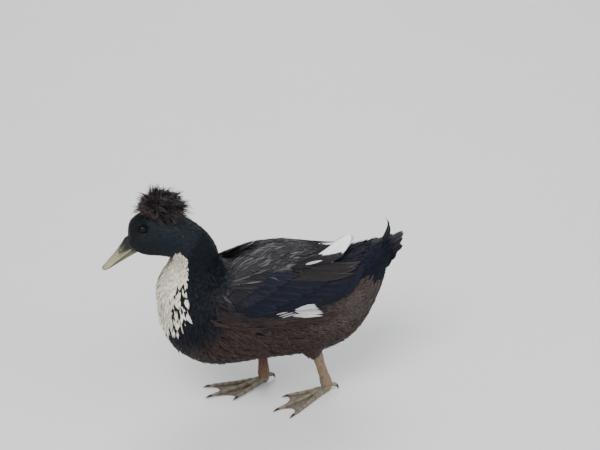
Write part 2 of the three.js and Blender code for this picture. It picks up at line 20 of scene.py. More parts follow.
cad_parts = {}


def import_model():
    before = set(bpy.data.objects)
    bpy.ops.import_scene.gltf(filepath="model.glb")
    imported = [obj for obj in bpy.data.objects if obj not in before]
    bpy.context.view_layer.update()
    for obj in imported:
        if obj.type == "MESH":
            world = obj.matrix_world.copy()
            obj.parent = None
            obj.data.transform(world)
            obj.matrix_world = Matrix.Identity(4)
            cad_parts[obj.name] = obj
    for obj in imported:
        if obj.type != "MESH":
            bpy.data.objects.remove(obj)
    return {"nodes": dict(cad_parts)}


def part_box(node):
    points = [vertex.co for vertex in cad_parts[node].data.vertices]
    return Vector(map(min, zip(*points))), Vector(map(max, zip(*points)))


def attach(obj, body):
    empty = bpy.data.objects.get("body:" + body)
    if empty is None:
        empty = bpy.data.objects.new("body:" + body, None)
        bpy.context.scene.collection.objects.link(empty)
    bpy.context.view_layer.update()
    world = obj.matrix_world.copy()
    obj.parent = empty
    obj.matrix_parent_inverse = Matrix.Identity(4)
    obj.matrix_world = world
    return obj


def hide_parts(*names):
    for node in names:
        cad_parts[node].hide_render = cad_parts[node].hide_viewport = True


Array = NDArray[np.float64]
Chance = np.random.Generator
Pair = tuple[float, float]
Triple = tuple[float, float, float]

LOG = logging.getLogger("duck")
MM = 0.001
TAU = 2 * np.pi
SEED = 11
BAKE_PATCH = 0.003
COAT_ROUGHNESS = 0.3
GOLDEN_TURN = np.pi * (3 - np.sqrt(5))
WELD_DISTANCE = 2e-6


class Side(Enum):
    """The duck's sides, as the sign of y."""

    LEFT = -1
    RIGHT = 1

    @property
    def word(self) -> str:
        """The side's name in node and piece names."""
        return self.name.lower()


def linear(red: float, green: float, blue: float) -> Array:
    """A colour from display values of 0 to 255 to linear light."""
    share = np.array([red, green, blue]) / 255
    return np.where(share <= 0.04045, share / 12.92, ((share + 0.055) / 1.055) ** 2.4)


def soft(value: Array | float, low: float, high: float) -> Array:
    """A smooth step: 0 below low, 1 above high, 3t^2 - 2t^3 between."""
    t = np.clip((np.asarray(value, float) - low) / (high - low), 0, 1)
    return t * t * (3 - 2 * t)


def unit(vectors: Array) -> Array:
    """Vectors divided by their own length."""
    return vectors / np.maximum(np.linalg.norm(vectors, axis=-1, keepdims=True), 1e-9)


def even(count: int) -> Array:
    """Even steps from 0 to 1."""
    return np.linspace(0, 1, count)


def full_turn(count: int) -> Array:
    """Even angles round a full turn."""
    return np.linspace(0, TAU, count, endpoint=False)


def squared(vectors: Array, axis: Array) -> Array:
    """Unit vectors at right angles to an axis, on the side of the given ones."""
    return unit(vectors - axis * (vectors * axis).sum(-1, keepdims=True))


def blend(first: Array, second: Array, share: Array | float) -> Array:
    """A mix of two colours or points, the second's share given along the leading axes."""
    share = np.asarray(share, float)[..., None]
    return first * (1 - share) + second * share


Profile = Callable[[Array], Array]


def profile(*knots: Pair) -> Profile:
    """A function through a few (place, value) knots with straight runs between them."""
    places, values = zip(*knots)
    return lambda at: np.interp(at, places, values)


# Meshes


@dataclass
class Shape:
    """A mesh of quads in the duck's own frame.

    Attributes:
        points: Corner places in millimetres, one row each.
        quads: Four corner numbers a face.
        maps: UV maps, one pair a face corner in the order of the quads.
        tints: Colour attributes, one linear colour a point.
        sharp: True at points whose shared edges stay sharp.
    """

    points: Array
    quads: NDArray[np.int64]
    maps: dict[str, Array] = field(default_factory=dict)
    tints: dict[str, Array] = field(default_factory=dict)
    sharp: NDArray[np.bool_] | None = None

    @classmethod
    def joined(cls, shapes: Sequence["Shape"]) -> "Shape":
        """Several shapes as one, keeping the maps and tints that the first one has.

        Args:
            shapes: The parts.

        Returns:
            The whole.
        """
        starts = np.cumsum([0] + [len(shape.points) for shape in shapes[:-1]])
        first = shapes[0]
        return cls(
            np.concatenate([shape.points for shape in shapes]),
            np.concatenate([shape.quads + start for shape, start in zip(shapes, starts)]),
            {name: np.concatenate([shape.maps[name] for shape in shapes]) for name in first.maps},
            {name: np.concatenate([shape.tints[name] for shape in shapes]) for name in first.tints},
            None if first.sharp is None else np.concatenate([shape.sharp for shape in shapes]),
        )

    def painted(self, tint: Array) -> "Shape":
        """The same shape, tinted.

        Args:
            tint: One colour, one for each ring of a closed tube, or one for each point of its rings.

        Returns:
            The shape itself.
        """
        if tint.ndim == 1:
            tint = np.broadcast_to(tint, self.points.shape)
        else:
            tint = np.concatenate([tint[:1], tint, tint[-1:]]).reshape(-1, 3)
        self.tints["tint"] = np.repeat(tint, len(self.points) // len(tint), axis=0)
        return self


def sheet(points: Array, wrap: bool = True) -> Shape:
    """Quads over a grid of points, closed across its columns where wrap is true.

    The UV map Form holds each corner's share of the rows and of the columns.

    Args:
        points: Rows by columns by three.
        wrap: Whether the last column joins the first.

    Returns:
        The mesh.
    """
    rows, columns = points.shape[:2]
    across = columns if wrap else columns - 1
    row, column = np.meshgrid(np.arange(rows - 1), np.arange(across), indexing="ij")
    corners = [(row, column), (row, column + 1), (row + 1, column + 1), (row + 1, column)]
    quads = np.stack([r * columns + c % columns for r, c in corners], -1).reshape(-1, 4)
    form = np.stack([np.stack([r / (rows - 1), c / across], -1) for r, c in corners], -2)
    return Shape(points.reshape(-1, 3), quads, {"Form": form.reshape(-1, 2)})


def capped(points: Array) -> Array:
    """A tube's rings with each end drawn in to its own middle."""
    ends = [np.broadcast_to(points[i].mean(axis=0), points[i].shape) for i in (0, -1)]
    return np.concatenate([ends[0][None], points, ends[1][None]])


def tube(centre: Array, across: Array, up: Array, wide: Array, high: Array, corners: int = 24) -> Shape:
    """A closed tube: ring point = centre + across * wide * cos(t) + up * high * sin(t).

    Args:
        centre: The middle line, rows by three.
        across: Unit vectors to the side, one for all or rows by three.
        up: Unit vectors at right angles to them, in the same way.
        wide: Half sizes along across, one a row or rows by corners.
        high: Half sizes along up, in the same way.
        corners: Points round the tube.

    Returns:
        The mesh.
    """
    turn, rows = full_turn(corners), len(centre)
    wide, high = (np.broadcast_to(np.reshape(half, (rows, -1)), (rows, corners)) for half in (wide, high))
    across, up = (np.broadcast_to(way, centre.shape)[:, None] for way in (across, up))
    side = across * (wide * np.cos(turn))[..., None]
    rise = up * (high * np.sin(turn))[..., None]
    return sheet(capped(centre[:, None] + side + rise))


def spline(knots: Array, at: Array) -> Array:
    """Rows between given ones, by a uniform Catmull-Rom curve.

    Args:
        knots: The given rows.
        at: Places, 0 at the first row, 1 at the next and so on.

    Returns:
        The rows there.
    """
    ends = np.concatenate([[2 * knots[0] - knots[1]], knots, [2 * knots[-1] - knots[-2]]])
    at = np.clip(at, 0, len(knots) - 1)
    first = np.minimum(at.astype(int), len(knots) - 2)
    share = (at - first)[..., None]
    p0, p1, p2, p3 = (ends[first + k] for k in range(4))
    slope, next_slope = (p2 - p0) / 2, (p3 - p1) / 2
    cubic = 2 * (p1 - p2) + slope + next_slope
    square = 3 * (p2 - p1) - 2 * slope - next_slope
    return ((cubic * share + square) * share + slope) * share + p1


@dataclass
class Walk:
    """Lines over a surface, with the directions that a vane on each needs, lines by rows by three.

    Attributes:
        centre: The lines' points.
        across: Unit vectors to the vane's side.
        normal: Unit vectors out of the surface.
    """

    centre: Array
    across: Array
    normal: Array

    @classmethod
    def facing(cls, centre: Array, outward: Array) -> "Walk":
        """Lines whose vanes face outward as nearly as their own direction allows.

        Args:
            centre: The lines' points.
            outward: Rough normals.

        Returns:
            The lines.
        """
        heading = unit(np.gradient(centre, axis=1))
        normal = squared(outward, heading)
        return cls(centre, np.cross(normal, heading), normal)

    @property
    def shares(self) -> Array:
        """The rows' even shares of a line's length."""
        return even(self.centre.shape[1])

    def only(self, keep: Array) -> "Walk":
        """Some of the lines."""
        return Walk(self.centre[keep], self.across[keep], self.normal[keep])


@dataclass
class Coat:
    """What a set of vanes is coloured with, one colour and one place each.

    Attributes:
        tint: The vanes' own colour.
        rim: The colour of their edges and tips.
        place: Where each vane's patch lies on the bake map.
    """

    tint: Array
    rim: Array
    place: Array


def vanes(walk: Walk, half: Array, thick: Array, camber: Array, coat: Coat, columns: int = 5) -> Shape:
    """Closed feather vanes along lines.

    A row's top point at x from -1 to 1 is centre + across * half * x + normal * (thick * (1 - x^2) - camber *
    x^2), and one more point closes the row from below at centre - normal * thick.

    Args:
        walk: The middle lines.
        half: Half widths, lines by rows.
        thick: Heights of the shaft over the edges, lines by rows.
        camber: How far the edges hang under the shaft, lines by rows.
        coat: Colours and bake places.
        columns: Points across the top of a row, an odd number.

    Returns:
        The mesh.
    """
    lines, rows = half.shape
    ring = columns + 1
    x = np.linspace(-1, 1, columns)
    side = (half[..., None] * x)[..., None] * walk.across[:, :, None]
    rise = (thick[..., None] * (1 - x**2) - camber[..., None] * x**2)[..., None] * walk.normal[:, :, None]
    top = walk.centre[:, :, None] + side + rise
    below = walk.centre - walk.normal * thick[..., None]
    points = np.concatenate([top, below[:, :, None]], axis=2)
    row, spot = np.meshgrid(np.arange(rows - 1), np.arange(ring), indexing="ij")
    beside = (spot + 1) % ring
    around = np.stack(
        [row * ring + spot, (row + 1) * ring + spot, (row + 1) * ring + beside, row * ring + beside], -1
    ).reshape(-1, 4)
    pairs = np.arange(0, columns - 1, 2)
    cap = np.stack([pairs, pairs + 1, pairs + 2, np.full_like(pairs, columns)], -1)
    one = np.concatenate([around, cap, (cap + (rows - 1) * ring)[:, ::-1]])
    quads = (one[None] + (np.arange(lines) * rows * ring)[:, None, None]).reshape(-1, 4)
    spread = np.append(x, 0.0)
    local = np.stack(np.broadcast_arrays(spread[None, :], walk.shares[:, None]), -1)
    vane_map = np.broadcast_to(local * [0.5, 1] + [0.5, 0], (lines, rows, ring, 2)).reshape(-1, 2)
    patch = (local * [0.5, 1] - [0, 0.5]) * BAKE_PATCH
    bake_map = (coat.place[:, None, None] + patch[None]).reshape(-1, 2)
    repeat = rows * ring
    return Shape(
        points.reshape(-1, 3),
        quads,
        {"Vane": vane_map[quads.ravel()], "OFBake": bake_map[quads.ravel()]},
        {"tint": np.repeat(coat.tint, repeat, axis=0), "rim": np.repeat(coat.rim, repeat, axis=0)},
        np.tile(np.isin(np.arange(ring), (0, columns - 1)), lines * rows),
    )


# The duck's body as a formula


STATIONS = (
    (-230, 272, -221, 249, 11.5), (-226, 288, -213, 244.5, 18), (-213, 299, -202, 242, 22.5),
    (-195, 304, -187, 241, 25), (-171, 300, -175, 239, 26.5), (-147, 286, -171, 235, 27.5),
    (-127, 268, -174, 229, 30), (-115, 248, -183, 214, 34), (-111, 230, -192.5, 195, 40),
    (-104, 217, -193, 167, 48), (-88, 217, -189, 134, 58), (-64, 223, -174, 102, 65),
    (-36, 227, -134, 77, 70), (0, 221, -66, 73, 72), (36, 210, 6, 69, 70.5), (66, 203, 51, 74, 62),
    (89, 203, 82, 93, 49), (107, 206, 102, 121, 36), (121, 209, 116, 151, 25),
)


@dataclass
class BodyForm:
    """The outline of head, neck and trunk, by slanted sections.

    Attributes:
        stations: Back x and z, underside x and z, and half width of each section.
        roundness: The exponent of the sections, 2 being an ellipse.
        head_turn: How far the head is turned to the duck's right.
        pivot_x: Where the upright axis of that turn stands.
        turn_fade: The stations between which the turn fades out down the neck.
        least_run: The fewest millimetres that a walk reckons with for a station.
        least_turn: The same for a degree.
    """

    stations: Array = field(default_factory=lambda: np.array(STATIONS, float))
    roundness: float = 2.15
    head_turn: float = np.radians(18)
    pivot_x: float = -148
    turn_fade: Pair = (5, 10)
    least_run: float = 3
    least_turn: float = 0.1

    @property
    def last(self) -> int:
        """The last station's number."""
        return len(self.stations) - 1

    def turned(self, points: Array, share: Array | float = 1.0, is_direction: bool = False) -> Array:
        """Points or directions of the straight duck, turned about the neck's axis with the head.

        Args:
            points: Places or directions.
            share: How much of the turn they make.
            is_direction: Whether they are directions.

        Returns:
            The turned ones.
        """
        angle = -self.head_turn * np.asarray(share, float)
        cosine, sine = np.cos(angle), np.sin(angle)
        pivot = np.array([0 if is_direction else self.pivot_x, 0, 0])
        x, y, z = np.moveaxis(np.asarray(points, float) - pivot, -1, 0)
        return np.stack([x * cosine - y * sine, x * sine + y * cosine, z], -1) + pivot

    def skin(self, station: Array | float, degrees: Array | float, lift: Array | float = 0.0) -> Array:
        """Points of the surface.

        A section's point is centre + up * (half + lift) * cos(t)^(2/n) + side * (width + lift) *
        sin(t)^(2/n), with the powers keeping their signs and n the roundness.

        Args:
            station: Place along the body.
            degrees: Angle from the back's middle line.
            lift: How far the point stands off the surface.

        Returns:
            The points.
        """
        at, degrees, lift = np.broadcast_arrays(*(np.asarray(v, float) for v in (station, degrees, lift)))
        columns = spline(self.stations, at)
        zero = np.zeros(at.shape)
        back = np.stack([columns[..., 0], zero, columns[..., 1]], -1)
        keel = np.stack([columns[..., 2], zero, columns[..., 3]], -1)
        share = 1 - soft(at, *self.turn_fade)
        slant = back - keel
        half = np.linalg.norm(slant, axis=-1) / 2
        centre = self.turned((back + keel) / 2, share)
        up = self.turned(unit(slant), share, True)
        side = self.turned(np.stack([zero, zero + 1, zero], -1), share, True)
        turn = np.radians(degrees)
        bulge = lambda wave: np.sign(wave) * np.abs(wave) ** (2 / self.roundness)
        rise = up * ((half + lift) * bulge(np.cos(turn)))[..., None]
        return centre + rise + side * ((columns[..., 4] + lift) * bulge(np.sin(turn)))[..., None]

    def slopes(self, station: Array, degrees: Array) -> tuple[Array, Array]:
        """How far the surface runs per station and per degree, as vectors.

        Args:
            station: Places along the body.
            degrees: Angles round it.

        Returns:
            Both vectors.
        """
        step, turn = 0.02, 0.5
        along = (self.skin(station + step, degrees) - self.skin(station - step, degrees)) / (2 * step)
        round_ = (self.skin(station, degrees + turn) - self.skin(station, degrees - turn)) / (2 * turn)
        return along, round_

    def walk(
        self, station: Array, degrees: Array, length: Array, lean: Array, curl: Array, lift: Array
    ) -> Walk:
        """Lines that start at given spots and run tailwards over the surface.

        Each step moves by cos(lean) along the stations and by sin(lean) round the body, both in
        millimetres, and the lean grows evenly by the curl.

        Args:
            station: Root stations.
            degrees: Root angles.
            length: Lengths of the lines in millimetres.
            lean: Mean angle between each line and the body's length, in radians.
            curl: How far each line turns from root to tip.
            lift: Heights over the surface, lines by rows.

        Returns:
            The lines.
        """
        rows = lift.shape[1]
        spots = [(station, degrees)]
        step = length / (rows - 1)
        for row in range(rows - 1):
            at, turn = spots[-1]
            heading = lean + curl * (row / (rows - 2) - 0.5)
            along, round_ = self.slopes(at, turn)
            run = np.maximum(np.linalg.norm(along, axis=-1), self.least_run)
            bow = np.maximum(np.linalg.norm(round_, axis=-1), self.least_turn)
            spots.append((at + np.cos(heading) * step / run, turn + np.sin(heading) * step / bow))
        at, turn = (np.stack(column, 1) for column in zip(*spots))
        return self.along(at, turn, lift)

    def along(self, station: Array, degrees: Array, lift: Array) -> Walk:
        """Lines through given spots of the surface, lines by rows."""
        centre = self.skin(station, degrees, lift)
        return Walk.facing(centre, self.skin(station, degrees, lift + 1) - centre)

    def bake_place(self, station: Array, degrees: Array) -> Array:
        """Spots on the bake map: the body unrolled, head to tail across and round the body upwards."""
        return np.stack([0.02 + 0.96 * station / self.last, 0.02 + 0.96 * (degrees / 360 + 0.5)], -1)


# The workshop


def added(name: str, data: bpy.types.ID) -> bpy.types.Object:
    """A new object in the scene.

    Args:
        name: Its name.
        data: Its mesh, lamp or lens.

    Returns:
        The object.
    """
    thing = bpy.data.objects.new(name, data)
    bpy.context.scene.collection.objects.link(thing)
    return thing


class Workshop:
    """Makes Blender pieces of shapes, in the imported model's frame."""

    def __init__(self, form: BodyForm, eye_centre: Array) -> None:
        """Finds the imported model's shift from its left eye, whose place the form also gives.

        Args:
            form: The body.
            eye_centre: Middle of the left eye.
        """
        low, high = (np.array(corner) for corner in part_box("eye_left"))
        self.form = form
        self.shift = (low + high) / 2 - eye_centre * MM

    def placed(self, points: Array) -> Array:
        """Points of the duck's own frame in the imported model's metres."""
        return points * MM + self.shift

    def piece(
        self, name: str, shape: Shape, finish: "Finish", stands_for: Sequence[str] = ()
    ) -> None:
        """Builds a piece, dresses it and lets it ride on the body; tubes are welded, vanes aren't.

        Args:
            name: The piece's name.
            shape: Its mesh.
            stands_for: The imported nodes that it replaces.
        """
        mesh = bpy.data.meshes.new(name)
        count = len(shape.quads)
        mesh.vertices.add(len(shape.points))
        mesh.vertices.foreach_set("co", self.placed(shape.points).ravel())
        mesh.loops.add(4 * count)
        mesh.polygons.add(count)
        mesh.polygons.foreach_set("loop_start", np.arange(0, 4 * count, 4))
        mesh.polygons.foreach_set("vertices", shape.quads.ravel())
        mesh.update(calc_edges=True)
        for label, values in shape.maps.items():
            mesh.uv_layers.new(name=label).data.foreach_set("uv", values.ravel())
        for label, values in shape.tints.items():
            colours = np.concatenate([values, np.ones((len(values), 1))], axis=1)
            mesh.attributes.new(label, "FLOAT_COLOR", "POINT").data.foreach_set("color", colours.ravel())
        if shape.sharp is not None:
            ends = np.empty(2 * len(mesh.edges), np.int64)
            mesh.edges.foreach_get("vertices", ends)
            both = shape.sharp[ends.reshape(-1, 2)].all(axis=1)
            mesh.attributes.new("sharp_edge", "BOOLEAN", "EDGE").data.foreach_set("value", both)
        if "Form" in shape.maps:
            self._weld(mesh)
        mesh.polygons.foreach_set("use_smooth", np.ones(len(mesh.polygons), bool))
        mesh.materials.append(finish.material())
        thing = added(name, mesh)
        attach(thing, "root")
        if stands_for:
            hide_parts(*stands_for)
        LOG.info("%s: %d faces", name, len(mesh.polygons))

    @staticmethod
    def _weld(mesh: bpy.types.Mesh) -> None:
        """Merges doubled points and turns the faces outwards.

        Args:
            mesh: The mesh.
        """
        work = bmesh.new()
        work.from_mesh(mesh)
        bmesh.ops.remove_doubles(work, verts=work.verts, dist=WELD_DISTANCE)
        bmesh.ops.recalc_face_normals(work, faces=work.faces)
        work.to_mesh(mesh)
        work.free()


# Shader maths


def math_node(operation: str, swapped: bool = False) -> Callable[..., "Wire"]:
    """An operator that adds a Math node, its two sides swapped where it is a reflected one.

    Args:
        operation: What it reckons.
        swapped: Whether the other value comes first.

    Returns:
        The method.
    """

    def operator(self: "Wire", *others: "Wire | float") -> "Wire":
        """Adds the node."""
        values = (*others, self) if swapped else (self, *others)
        return self.shader.node("ShaderNodeMath", {"operation": operation}, dict(enumerate(values)))

    return operator


class Wire:
    """A socket that can be reckoned with: the operators add Math nodes."""

    __add__ = __radd__ = math_node("ADD")
    __sub__ = math_node("SUBTRACT")
    __rsub__ = math_node("SUBTRACT", swapped=True)
    __mul__ = __rmul__ = math_node("MULTIPLY")
    __pow__ = math_node("POWER")
    __abs__ = math_node("ABSOLUTE")
    sine = math_node("SINE")

    def __init__(self, shader: "Shader", socket: Any) -> None:
        """Wraps a socket of a shader's node tree."""
        self.shader = shader
        self.socket = socket

    def step(self, low: float, high: float) -> "Wire":
        """A smooth step from 0 at low to 1 at high, or the other way where low is above high.

        Args:
            low: Where the step is 0.
            high: Where it is 1.

        Returns:
            The step's wire.
        """
        settings = {"interpolation_type": "SMOOTHSTEP", "clamp": True}
        ends = {"From Min": min(low, high), "From Max": max(low, high)}
        rise = self.shader.node("ShaderNodeMapRange", settings, {"Value": self, **ends})
        return 1 - rise if low > high else rise


class Shader:
    """A material under work: its node tree and the few kinds of node that the finishes use."""

    def __init__(self, material: bpy.types.Material) -> None:
        """Takes a new material's node tree.

        Args:
            material: The new material.
        """
        material.use_nodes = True
        self.tree = material.node_tree
        self.surface = self.tree.nodes["Principled BSDF"]

    def node(self, kind: str, settings: dict[str, Any], inputs: dict[Any, Any], output: Any = 0) -> Wire:
        """Adds a node.

        Args:
            kind: The node's type.
            settings: Its properties, set first.
            inputs: Values or wires by socket name or number.
            output: The socket that the wire comes from.

        Returns:
            The wire from the node's output.
        """
        made = self.tree.nodes.new(kind)
        for label, value in settings.items():
            setattr(made, label, value)
        for label, value in inputs.items():
            if isinstance(value, Wire):
                self.tree.links.new(value.socket, made.inputs[label])
            else:
                made.inputs[label].default_value = value
        return Wire(self, made.outputs[output])

    def feed(self, **wires: Wire) -> None:
        """Links wires to the surface's sockets, their names with underscores for spaces."""
        for label, wire in wires.items():
            self.tree.links.new(wire.socket, self.surface.inputs[label.replace("_", " ")])

    def spot(self, scale: Sequence[float] = (1, 1, 1)) -> Wire:
        """Object coordinates, scaled."""
        plain = self.node("ShaderNodeTexCoord", {}, {}, "Object")
        return self.node("ShaderNodeMapping", {}, {"Vector": plain, "Scale": tuple(scale)})

    def map_parts(self, name: str) -> tuple[Wire, Wire]:
        """The two parts of a UV map.

        Args:
            name: The map's name.

        Returns:
            Wires across and along.
        """
        spot = self.node("ShaderNodeUVMap", {"uv_map": name}, {})
        first = self.node("ShaderNodeSeparateXYZ", {}, {0: spot})
        return first, Wire(self, first.socket.node.outputs[1])

    def noise(self, scale: float, detail: float = 3, where: Wire | None = None) -> Wire:
        """Noise of 0 to 1 about 0.5."""
        inputs = {"Vector": where or self.spot(), "Scale": scale, "Detail": detail}
        return self.node("ShaderNodeTexNoise", {}, inputs, "Fac")

    def cells(self, scale: float, where: Wire) -> Wire:
        """Distance from the borders of scattered cells."""
        inputs = {"Vector": where, "Scale": scale}
        return self.node("ShaderNodeTexVoronoi", {"feature": "DISTANCE_TO_EDGE"}, inputs, "Distance")

    def mix(self, first: Any, second: Any, share: Wire | float, kind: str = "MIX") -> Wire:
        """A mix of two colours.

        Args:
            first: The colour at share 0.
            second: The colour at share 1.
            share: The second colour's share.
            kind: How they are mixed.

        Returns:
            The mixed colour.
        """
        full = lambda value: value if isinstance(value, Wire) else (*value, 1)
        inputs = {0: share, 6: full(first), 7: full(second)}
        return self.node("ShaderNodeMix", {"data_type": "RGBA", "blend_type": kind}, inputs, 2)

    def shaded(self, colour: Any, light: Wire) -> Wire:
        """A colour times a grey level."""
        grey = self.node("ShaderNodeCombineXYZ", {}, {0: light, 1: light, 2: light})
        return self.mix(colour, grey, 1.0, "MULTIPLY")

    def colour(self, name: str) -> Wire:
        """A colour attribute."""
        return self.node("ShaderNodeAttribute", {"attribute_name": name}, {}, "Color")

    def bump(self, height: Wire, depth: float) -> None:
        """Sends a height to the surface's normal, its depth in millimetres."""
        inputs = {"Height": height, "Distance": depth * MM}
        self.feed(Normal=self.node("ShaderNodeBump", {}, inputs, "Normal"))


@dataclass(frozen=True)
class Finish:
    """A material as a plan.

    Attributes:
        name: The material's name.
        roughness: Mean roughness.
        shine: Weight of the clear coat.
        gloss: How much light the surface itself mirrors.
        metal: How metallic it is.
    """

    name: str
    roughness: float = 0.5
    shine: float = 0.0
    gloss: float = 0.15
    metal: float = 0.0

    def material(self) -> bpy.types.Material:
        """The Blender material, made at its first use.

        Returns:
            The material.
        """
        ready = bpy.data.materials.get(self.name)
        if ready:
            return ready
        material = bpy.data.materials.new(self.name)
        shader = Shader(material)
        constants = {
            "Coat Weight": self.shine,
            "Coat Roughness": COAT_ROUGHNESS,
            "Specular IOR Level": self.gloss,
            "Metallic": self.metal,
        }
        for socket, value in constants.items():
            shader.surface.inputs[socket].default_value = value
        self.build(shader)
        return material

    def build(self, on: Shader) -> None:
        """Links what varies over the surface."""
        raise NotImplementedError


@dataclass(frozen=True)
class VaneFinish(Finish):
    """Feather vanes: a tinted web with a rim, fine barbs that slant to the tip, and a shaft.

    Attributes:
        rim: How much of the vane's edge the rim colour takes.
        barbs: How many barbs lie along a vane.
        depth: How deep they are, in millimetres.
        mottle: How far the brightness wanders.
    """

    rim: float = 0.2
    barbs: float = 60
    depth: float = 0.12
    mottle: float = 0.5

    def build(self, on: Shader) -> None:
        """Links what varies over the vanes."""
        u, v = on.map_parts("Vane")
        x = abs(u * 2 - 1)
        height = on.node("ShaderNodeSeparateXYZ", {}, {0: on.spot()}, "Z")
        along = on.node("ShaderNodeCombineXYZ", {}, {0: u * 9, 1: v * 1.6, 2: height * 70})
        streak = on.noise(1.0, 3, along)
        edge = (x**2 + v**4 * 0.9).step(1 - self.rim * 2, 1.02 - self.rim * 0.5)
        web = on.mix(on.colour("tint"), on.colour("rim"), (edge + streak * 0.5 - 0.25).step(0.2, 0.8))
        barb = ((v * self.barbs - x * self.barbs * 0.35) * TAU).sine()
        blotch = (on.noise(34, 3) * 1.1 + on.noise(150, 2) * 0.7 + streak * 1.1 - 1.45) * self.mottle + 1
        shaft = x.step(0.07, 0.0) * v.step(0.95, 0.5)
        # painted shade: each vane darker towards its root, where the feathers over it cover it, and lighter
        # at its tip
        light = (blotch + barb * 0.06 - shaft * 0.2) * (v * 0.35 + 0.8)
        on.feed(Base_Color=on.shaded(web, light), Roughness=streak * 0.3 + (self.roughness - 0.15))
        on.bump(barb * 0.4 + shaft * 2 + streak * 1.6, self.depth)


@dataclass(frozen=True)
class TintFinish(Finish):
    """A surface whose tint comes with the mesh, with fine mottling and grain.

    Attributes:
        grain: Scale of the grain.
        depth: Its depth in millimetres.
        mottle: How far the brightness wanders.
    """

    grain: float = 900
    depth: float = 0.2
    mottle: float = 0.3

    def build(self, on: Shader) -> None:
        """Links what varies over the surface."""
        light = on.noise(90, 4) * self.mottle + on.noise(self.grain, 3) * self.mottle + (1 - self.mottle)
        on.feed(
            Base_Color=on.shaded(on.colour("tint"), light),
            Roughness=on.noise(160) * 0.25 + (self.roughness - 0.12),
        )
        on.bump(on.noise(self.grain, 5), self.depth)


@dataclass(frozen=True)
class ScaleFinish(Finish):
    """Scaly skin: cells of horn with dark seams.

    Attributes:
        size: How many cells a metre holds.
        depth: How deep the seams are, in millimetres.
        patch: Colour of scattered patches.
        patch_share: How strong they are.
    """

    size: float = 420
    depth: float = 0.5
    patch: Triple = (0.3, 0.27, 0.22)
    patch_share: float = 0.5

    def build(self, on: Shader) -> None:
        """Links what varies over the skin."""
        where = on.spot((1, 1, 0.75))
        seam = on.cells(self.size, where).step(0.0, 0.16)
        light = seam * 0.4 + on.noise(110, 4) * 0.55 + on.noise(900, 3) * 0.3 + 0.15
        spread = on.noise(70, 5).step(0.5, 0.66) * self.patch_share
        dusty = on.mix(on.colour("tint"), self.patch, spread)
        rough = on.noise(200) * 0.25 + (self.roughness - 0.12)
        on.feed(Base_Color=on.shaded(dusty, light), Roughness=rough)
        on.bump(seam + on.noise(1400, 3) * 0.3, self.depth)


@dataclass(frozen=True)
class FloorFinish(Finish):
    """A pale even floor.

    Attributes:
        colour: Its colour.
    """

    colour: Triple = (0.75, 0.75, 0.74)

    def build(self, on: Shader) -> None:
        """Links a slight unevenness."""
        on.feed(Base_Color=on.shaded(self.colour, on.noise(3, 2) * 0.04 + 0.98))


# Markings


class Tone:
    """The duck's colours."""

    HEAD = linear(4, 13, 19)
    # the head feathers' own teal, lightened as painted sheen of the iridescent gloss
    HEAD_TEAL_PAINTED_SHEEN = linear(5, 25, 36)
    FACE = linear(12, 12, 13)
    NECK = linear(6, 9, 17)
    # the neck feathers' own blue, lightened as painted sheen
    NECK_BLUE_PAINTED_SHEEN = linear(9, 18, 30)
    BREAST = linear(13, 15, 26)
    BIB = linear(230, 224, 209)
    # a greyer cream: tone that differs at random, and painted shade of the white bib
    BIB_GREY_AND_PAINTED_SHADE = linear(176, 167, 149)
    MANTLE = linear(23, 21, 25)
    MANTLE_EDGE = linear(47, 44, 49)
    PLUME_LIGHT = linear(108, 104, 108)
    FLANK = linear(46, 35, 33)
    FLANK_EDGE = linear(66, 53, 48)
    REAR = linear(60, 51, 49)
    REAR_EDGE = linear(84, 74, 70)
    RUMP = linear(9, 12, 25)
    VENT = linear(54, 42, 38)
    UNDERTAIL = linear(15, 14, 19)
    NAVY = linear(9, 13, 28)
    NAVY_EDGE = linear(15, 20, 36)
    COVERT = linear(15, 15, 21)
    COVERT_EDGE = linear(28, 28, 35)
    TERTIAL = linear(32, 28, 30)
    TERTIAL_EDGE = linear(62, 55, 53)
    TAIL_EDGE = linear(50, 44, 43)
    WHITE = linear(253, 253, 252)
    GREY_WHITE = linear(178, 177, 178)
    CREST = linear(19, 15, 18)
    CREST_TIP = linear(50, 41, 42)
    # painted light: pale brown for crest strands lit through at their fine tips
    CREST_PAINTED_LIGHT = linear(104, 90, 82)
    BILL = linear(140, 133, 106)
    BILL_PALE = linear(170, 163, 135)
    BILL_DARK = linear(34, 32, 28)
    SHANK_RED = linear(112, 66, 50)
    SHANK_GREY = linear(140, 124, 102)
    TOE = linear(140, 130, 112)
    WEB = linear(116, 108, 96)
    CLAW = linear(38, 30, 24)
    IRIS = linear(14, 9, 7)
    PUPIL = linear(3, 3, 4)
    LID = linear(8, 10, 11)


